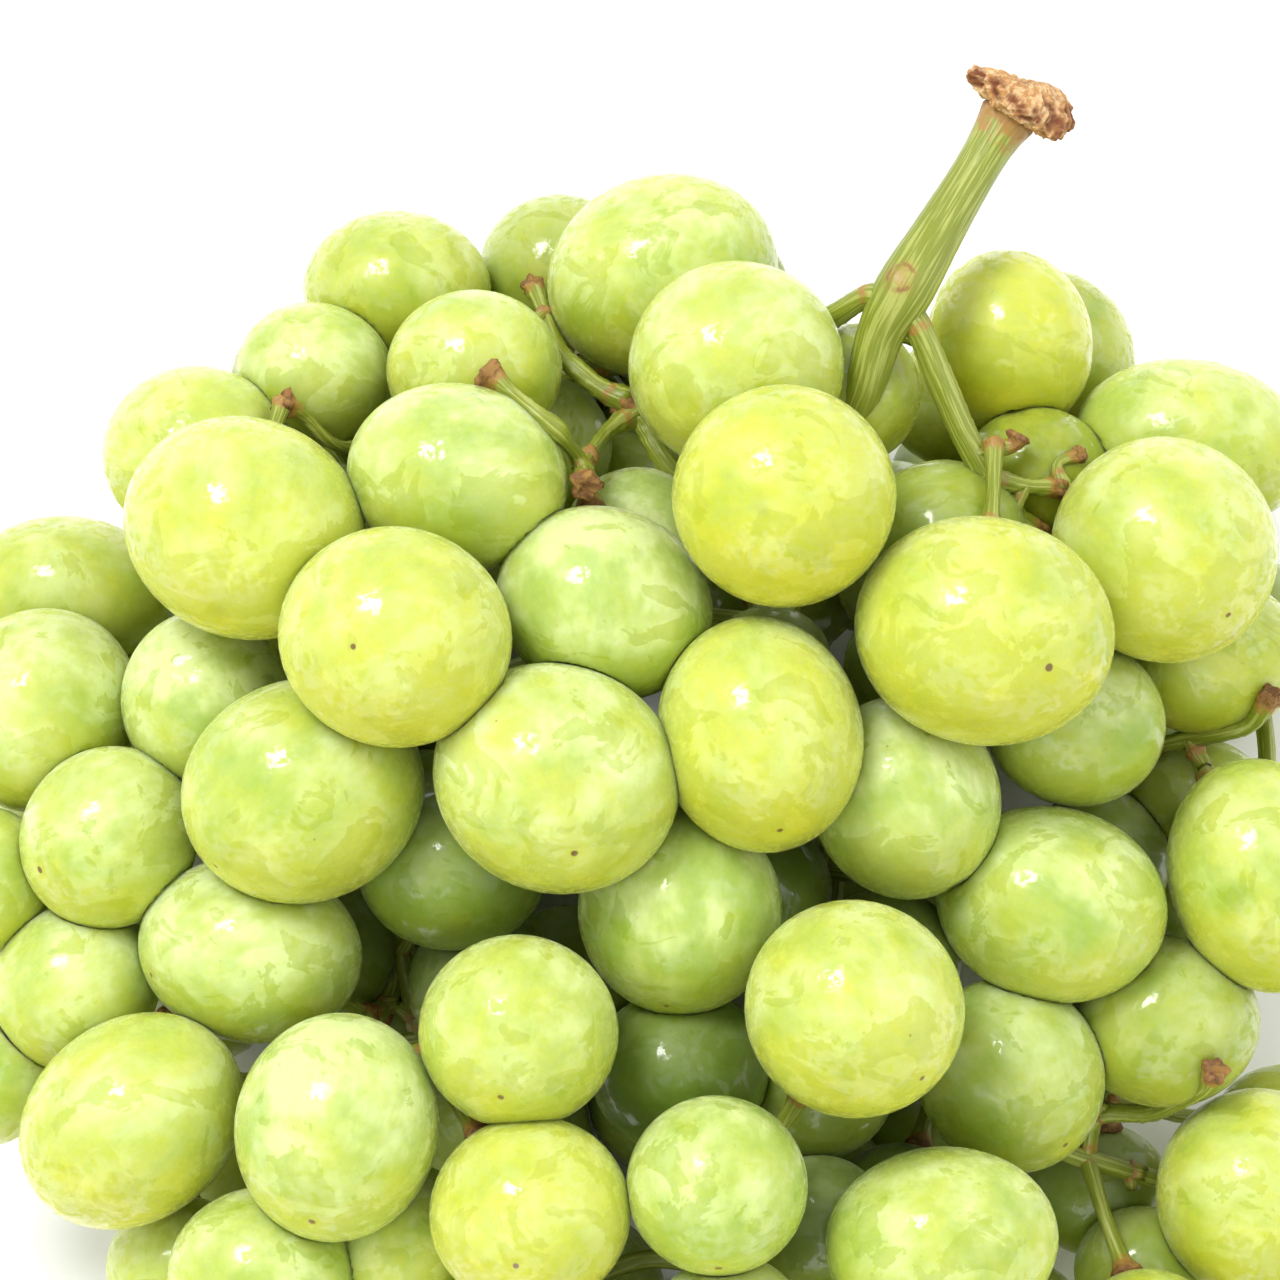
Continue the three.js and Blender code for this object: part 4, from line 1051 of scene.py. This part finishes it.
def grape_skin():
    """Flesh between green and yellow, streaked from stalk to scar, with a yellow light painted on its underside and
    painted shade on grapes deep in the bunch; over it a soft layer of wax, painted whiter on the lit top, with ragged
    patches rubbed off that are painted more often on the underside as shade; specks and the scar; and a gloss that the
    wax dulls."""
    material, tree = new_material("grape_skin")
    place = attribute(tree, "grape_place", "Vector")
    rounds = attribute(tree, "grape_round", "Vector")
    tone, waxy = attribute(tree, "grape_tone"), attribute(tree, "grape_bloom")
    away_from_light, scar = attribute(tree, "grape_away_from_light"), attribute(tree, "grape_scar")
    drawn = shade(tree, "ShaderNodeMapping", {"Vector": rounds, "Scale": (1.0, 1.0, 0.4)}).outputs[0]
    clouds = noise(tree, place, 0.14, 3.0)
    streaks = noise(tree, drawn, 3.4, 3.0, 0.6, 0.8)
    ripe = maths(tree, "ADD", tone, centred(tree, clouds, 1.7))
    ripe = maths(tree, "ADD", ripe, centred(tree, streaks, 0.9), clamp=True)
    flesh = blend(tree, ripe, GREEN_FLESH, YELLOW_FLESH)
    # Painted light: yellow light painted on the underside, away from the lamps, as if it shone through the flesh; more
    # on yellower grapes.
    painted_glow = maths(tree, "MULTIPLY", ramp(tree, away_from_light, 0.35, 0.95), maths(tree, "ADD", 0.25, tone))
    flesh = blend(tree, maths(tree, "MULTIPLY", painted_glow, 0.7, clamp=True), flesh, PAINTED_GLOW)

    lit = ramp(tree, away_from_light, 0.85, 0.15)
    soft = noise(tree, place, 0.15, 3.0)
    marks = noise(tree, drawn, 5.0, 3.0, 0.6)
    ragged = noise(tree, place, 0.15, 4.0, 0.6, 0.7)
    # Rubbed patches are real wear, and are painted more often on the unlit underside as painted shade.
    rubbed_and_shade = maths(tree, "SUBTRACT", ragged, maths(tree, "MULTIPLY", lit, 0.12))
    rubbed_and_shade = maths(tree, "SUBTRACT", rubbed_and_shade, maths(tree, "MULTIPLY", waxy, 0.08))
    rubbed_and_shade = ramp(tree, rubbed_and_shade, 0.4, 0.43)
    # Painted light: the wax is painted thicker and whiter on the lit top than underneath, over the real wax.
    wax_film_and_lit_top = maths(tree, "MULTIPLY", waxy, maths(tree, "ADD", 0.45, maths(tree, "MULTIPLY", lit, 0.85)))
    wax_film_and_lit_top = maths(tree, "MULTIPLY", wax_film_and_lit_top, ramp(tree, soft, 0.36, 0.64, 0.4, 1.2))
    wax_film_and_lit_top = maths(tree, "MULTIPLY", wax_film_and_lit_top, ramp(tree, marks, 0.38, 0.6, 0.75, 1.1))
    kept = maths(tree, "SUBTRACT", 1.0, maths(tree, "MULTIPLY", rubbed_and_shade, 0.5))
    wax_film_and_lit_top = maths(tree, "MULTIPLY", wax_film_and_lit_top, kept, clamp=True)
    flesh = blend(tree, maths(tree, "MULTIPLY", rubbed_and_shade, 0.22), flesh, RUBBED_AND_SHADE_GREEN)
    colour = blend(tree, wax_film_and_lit_top, flesh, WAX)
    # Painted shade: grapes deep in the bunch are painted darker and greener.
    colour = blend(tree, attribute(tree, "grape_shade"), colour, PAINTED_SHADE_FLESH)

    spots = shade(tree, "ShaderNodeTexVoronoi", {"Vector": place, "Scale": 0.3, "Randomness": 1.0})
    chosen = ramp(tree, shade(tree, "ShaderNodeSeparateColor", {"Color": spots.outputs["Color"]}).outputs[0],
                  0.8, 0.84)
    speck = maths(tree, "MULTIPLY", ramp(tree, spots.outputs["Distance"], 0.06, 0.025), chosen)
    colour = blend(tree, maths(tree, "MULTIPLY", speck, 0.45), colour, SPECK)
    halo = maths(tree, "MULTIPLY", ramp(tree, scar, 2.4, 0.5), 0.4)
    colour = blend(tree, halo, colour, YELLOW_FLESH)
    dot = ramp(tree, maths(tree, "ADD", scar, centred(tree, streaks, 0.5)), 0.42, 0.25)
    colour = blend(tree, maths(tree, "MULTIPLY", dot, 0.85), colour, SPECK)

    uneven = noise(tree, place, 0.4, 2.0, 0.55)
    broken = noise(tree, place, 0.9, 2.0, 0.6)
    bump = shade(tree, "ShaderNodeBump", {"Height": uneven, "Strength": 0.22, "Distance": 0.0006})
    shiny = maths(tree, "SUBTRACT", 1.0, maths(tree, "MULTIPLY", wax_film_and_lit_top, 0.45))
    surface = shade(tree, "ShaderNodeBsdfPrincipled", {
        "Base Color": colour,
        "Roughness": maths(tree, "ADD", 0.4, maths(tree, "MULTIPLY", wax_film_and_lit_top, 0.2)),
        "Normal": bump.outputs["Normal"],
        "IOR": 1.36,
        "Subsurface Weight": 1.0,
        "Subsurface Radius": SCATTER,
        "Subsurface Scale": SCATTER_DEPTH,
        "Coat Weight": maths(tree, "MULTIPLY", shiny, ramp(tree, broken, 0.43, 0.5)),
        "Coat Roughness": 0.14,
        "Coat IOR": 1.5,
        "Coat Normal": bump.outputs["Normal"],
        "Sheen Weight": 0.09,
        "Sheen Roughness": 0.35,
        "Sheen Tint": (0.95, 1.0, 0.85, 1),
    })
    finish_material(tree, surface.outputs[0])
    return material


skin_material = grape_skin()
print("grape skin has", len(skin_material.node_tree.nodes), "nodes")

# %% Green stem
STEM_GREEN = (0.22, 0.265, 0.02, 1)
STEM_PALE = (0.52, 0.55, 0.15, 1)
STEM_TAN = (0.38, 0.21, 0.045, 1)
STEM_BROWN = (0.14, 0.06, 0.02, 1)
STEM_RUST = (0.27, 0.125, 0.035, 1)


def green_stem():
    """Green with fine paler lines along it, speckled, tan and then brown where the mesh says it has
    dried, and a brown ring round the old scar."""
    material, tree = new_material("green_stem")
    place = attribute(tree, "stem_round", "Vector")
    brown = attribute(tree, "stem_brown")
    old_scar = attribute(tree, "stem_scar")
    drawn = shade(tree, "ShaderNodeMapping", {"Vector": place, "Scale": (1.0, 1.0, 0.045)}).outputs[0]
    lines = noise(tree, drawn, 3.2, 3.0, 0.5)
    lumps = noise(tree, place, 0.9, 4.0, 0.6)
    fine = noise(tree, place, 3.0, 3.0, 0.65)
    colour = blend(tree, ramp(tree, lines, 0.46, 0.62, 0.0, 0.6), STEM_GREEN, STEM_PALE)
    colour = blend(tree, maths(tree, "MULTIPLY", ramp(tree, fine, 0.6, 0.72), 0.3), colour, STEM_RUST)
    dried = maths(tree, "ADD", brown, centred(tree, lumps, 1.3))
    dried = maths(tree, "MULTIPLY", dried, ramp(tree, brown, 0.02, 0.2))
    bark = blend(tree, ramp(tree, fine, 0.35, 0.65), STEM_BROWN, STEM_RUST)
    bark = blend(tree, ramp(tree, lumps, 0.5, 0.62, 0.0, 0.7), bark, STEM_TAN)
    colour = blend(tree, ramp(tree, dried, 0.15, 0.5), colour, STEM_TAN)
    dark = ramp(tree, dried, 0.5, 0.85)
    colour = blend(tree, dark, colour, bark)
    off_ring = maths(tree, "ABSOLUTE", maths(tree, "SUBTRACT", old_scar, SCAR_ROUND))
    off_ring = maths(tree, "ADD", off_ring, centred(tree, fine, 0.5))
    healed = maths(tree, "MULTIPLY", ramp(tree, old_scar, 2 * SCAR_ROUND, 0.3), ramp(tree, lumps, 0.35, 0.6, 0.2, 0.75))
    colour = blend(tree, healed, colour, STEM_TAN)
    ring = maths(tree, "MULTIPLY", ramp(tree, off_ring, 0.4, 0.05), ramp(tree, lumps, 0.42, 0.56, 0.1, 0.85))
    colour = blend(tree, ring, colour, STEM_RUST)
    height = maths(tree, "ADD", lines, maths(tree, "MULTIPLY", fine, maths(tree, "ADD", 0.15, dark)))
    bump = shade(tree, "ShaderNodeBump", {"Height": height, "Strength": 0.45, "Distance": 0.0004})
    surface = shade(tree, "ShaderNodeBsdfPrincipled", {
        "Base Color": colour,
        "Roughness": maths(tree, "ADD", 0.36, maths(tree, "MULTIPLY", dark, 0.35)),
        "Normal": bump.outputs["Normal"],
        "Subsurface Weight": 0.25,
        "Subsurface Radius": (0.8, 1.0, 0.3),
        "Subsurface Scale": 0.001,
    })
    finish_material(tree, surface.outputs[0])
    return material


# %% Dried stem
DRY_DARK = (0.20, 0.06, 0.02, 1)
DRY_MID = (0.56, 0.27, 0.09, 1)
DRY_PALE = (0.80, 0.55, 0.28, 1)


def dried_stem():
    """Torn wood: tan with pale fibres that run out from the middle, and red-brown in the creases and
    towards the rim."""
    material, tree = new_material("dried_stem")
    place = shade(tree, "ShaderNodeTexCoord").outputs["Object"]
    coarse = noise(tree, place, 280.0, 4.0, 0.55)
    crossed = noise(tree, place, 700.0, 3.0, 0.6, 1.5)
    turn, across = attribute(tree, "knob_turn"), attribute(tree, "knob_across")
    round_place = shade(tree, "ShaderNodeCombineXYZ", {
        "X": maths(tree, "MULTIPLY", maths(tree, "SINE", turn), 9.0),
        "Y": maths(tree, "MULTIPLY", maths(tree, "COSINE", turn), 9.0),
        "Z": maths(tree, "MULTIPLY", across, 0.25),
    }).outputs[0]
    fibres = maths(tree, "ADD", noise(tree, round_place, 1.3, 4.0, 0.6), centred(tree, crossed, 1.2))
    colour = blend(tree, ramp(tree, fibres, 0.4, 0.64), DRY_MID, DRY_PALE)
    # Darker red-brown towards the rim, in the creases and in coarse patches.
    dark_to_rim_and_creases = maths(tree, "ADD", ramp(tree, across, 3.8, 6.0, 0.0, 0.4), centred(tree, coarse, 0.8))
    dark_to_rim_and_creases = maths(tree, "SUBTRACT", dark_to_rim_and_creases, maths(tree, "MULTIPLY", attribute(tree, "knob_fold"), 0.5))
    colour = blend(tree, ramp(tree, dark_to_rim_and_creases, 0.2, 0.85), colour, DRY_DARK)
    height = maths(tree, "ADD", coarse, fibres)
    bump = shade(tree, "ShaderNodeBump", {"Height": height, "Strength": 0.8, "Distance": 0.0006})
    surface = shade(tree, "ShaderNodeBsdfPrincipled", {
        "Base Color": colour, "Roughness": 0.8, "Normal": bump.outputs["Normal"],
    })
    finish_material(tree, surface.outputs[0])
    return material


# %% Giving each piece its finish and its body, and hiding the node it stands for
for k, piece in enumerate(spray_pieces):
    piece.data.materials.append(skin_material)
    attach(piece, "root")
    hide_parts(f"berries_spray_{k + 1:02d}")
stem_piece.data.materials.append(green_stem())
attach(stem_piece, "root")
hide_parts("stem")
knob_piece.data.materials.append(dried_stem())
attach(knob_piece, "root")
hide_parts("stem_cut_end")
print("dressed", len(spray_pieces) + 2, "pieces")

# %% [markdown]
# ## Floor and light
# The photo is nearly white all round, so the floor is pale and the world is bright. One soft lamp up
# and to the left of the camera gives each grape its small highlight, and a broad one fills from the
# right.

# %% Floor, world and lamps
FLOOR_HALF = 3.0
floor_mesh = bpy.data.meshes.new("floor")
floor_mesh.from_pydata([(-FLOOR_HALF, -FLOOR_HALF, 0), (FLOOR_HALF, -FLOOR_HALF, 0),
                        (FLOOR_HALF, FLOOR_HALF, 0), (-FLOOR_HALF, FLOOR_HALF, 0)], [], [(0, 1, 2, 3)])
floor = bpy.data.objects.new("floor", floor_mesh)
bpy.context.scene.collection.objects.link(floor)
floor_material, floor_tree = new_material("pale_floor")
finish_material(floor_tree, shade(floor_tree, "ShaderNodeBsdfPrincipled", {
    "Base Color": (0.95, 0.95, 0.95, 1), "Roughness": 0.8}).outputs[0])
floor_mesh.materials.append(floor_material)

world = bpy.data.worlds.new("pale_room")
world.use_nodes = True
world.node_tree.nodes["Background"].inputs["Color"].default_value = (1, 1, 1, 1)
world.node_tree.nodes["Background"].inputs["Strength"].default_value = 0.85
bpy.context.scene.world = world
bpy.context.scene.view_settings.view_transform = "Standard"  # the photo's whites are plain white


def lamp(name, right, up, nearer, distance, size, power):
    """A square lamp that looks at the middle of the face from a direction given in the face's axes."""
    way = unit(RIGHT * right + UP * up + NEARER * nearer)
    first, second = square_to(way)
    data = bpy.data.lights.new(name, "AREA")
    data.size, data.energy = size, power
    at = (FACE_ORIGIN * MM) + way * distance
    lamp_object = bpy.data.objects.new(name, data)
    lamp_object.matrix_world = Matrix(
        [[first[i], second[i], way[i], at[i]] for i in range(3)] + [[0, 0, 0, 1]]
    )
    bpy.context.scene.collection.objects.link(lamp_object)


lamp("key_lamp", -0.4, 0.6, 0.8, 1.1, 0.36, 9.0)
lamp("fill_lamp", 0.8, 0.35, 0.7, 1.6, 1.2, 7.0)
lamp("low_lamp", -0.3, -0.75, 0.6, 1.5, 1.4, 9.0)
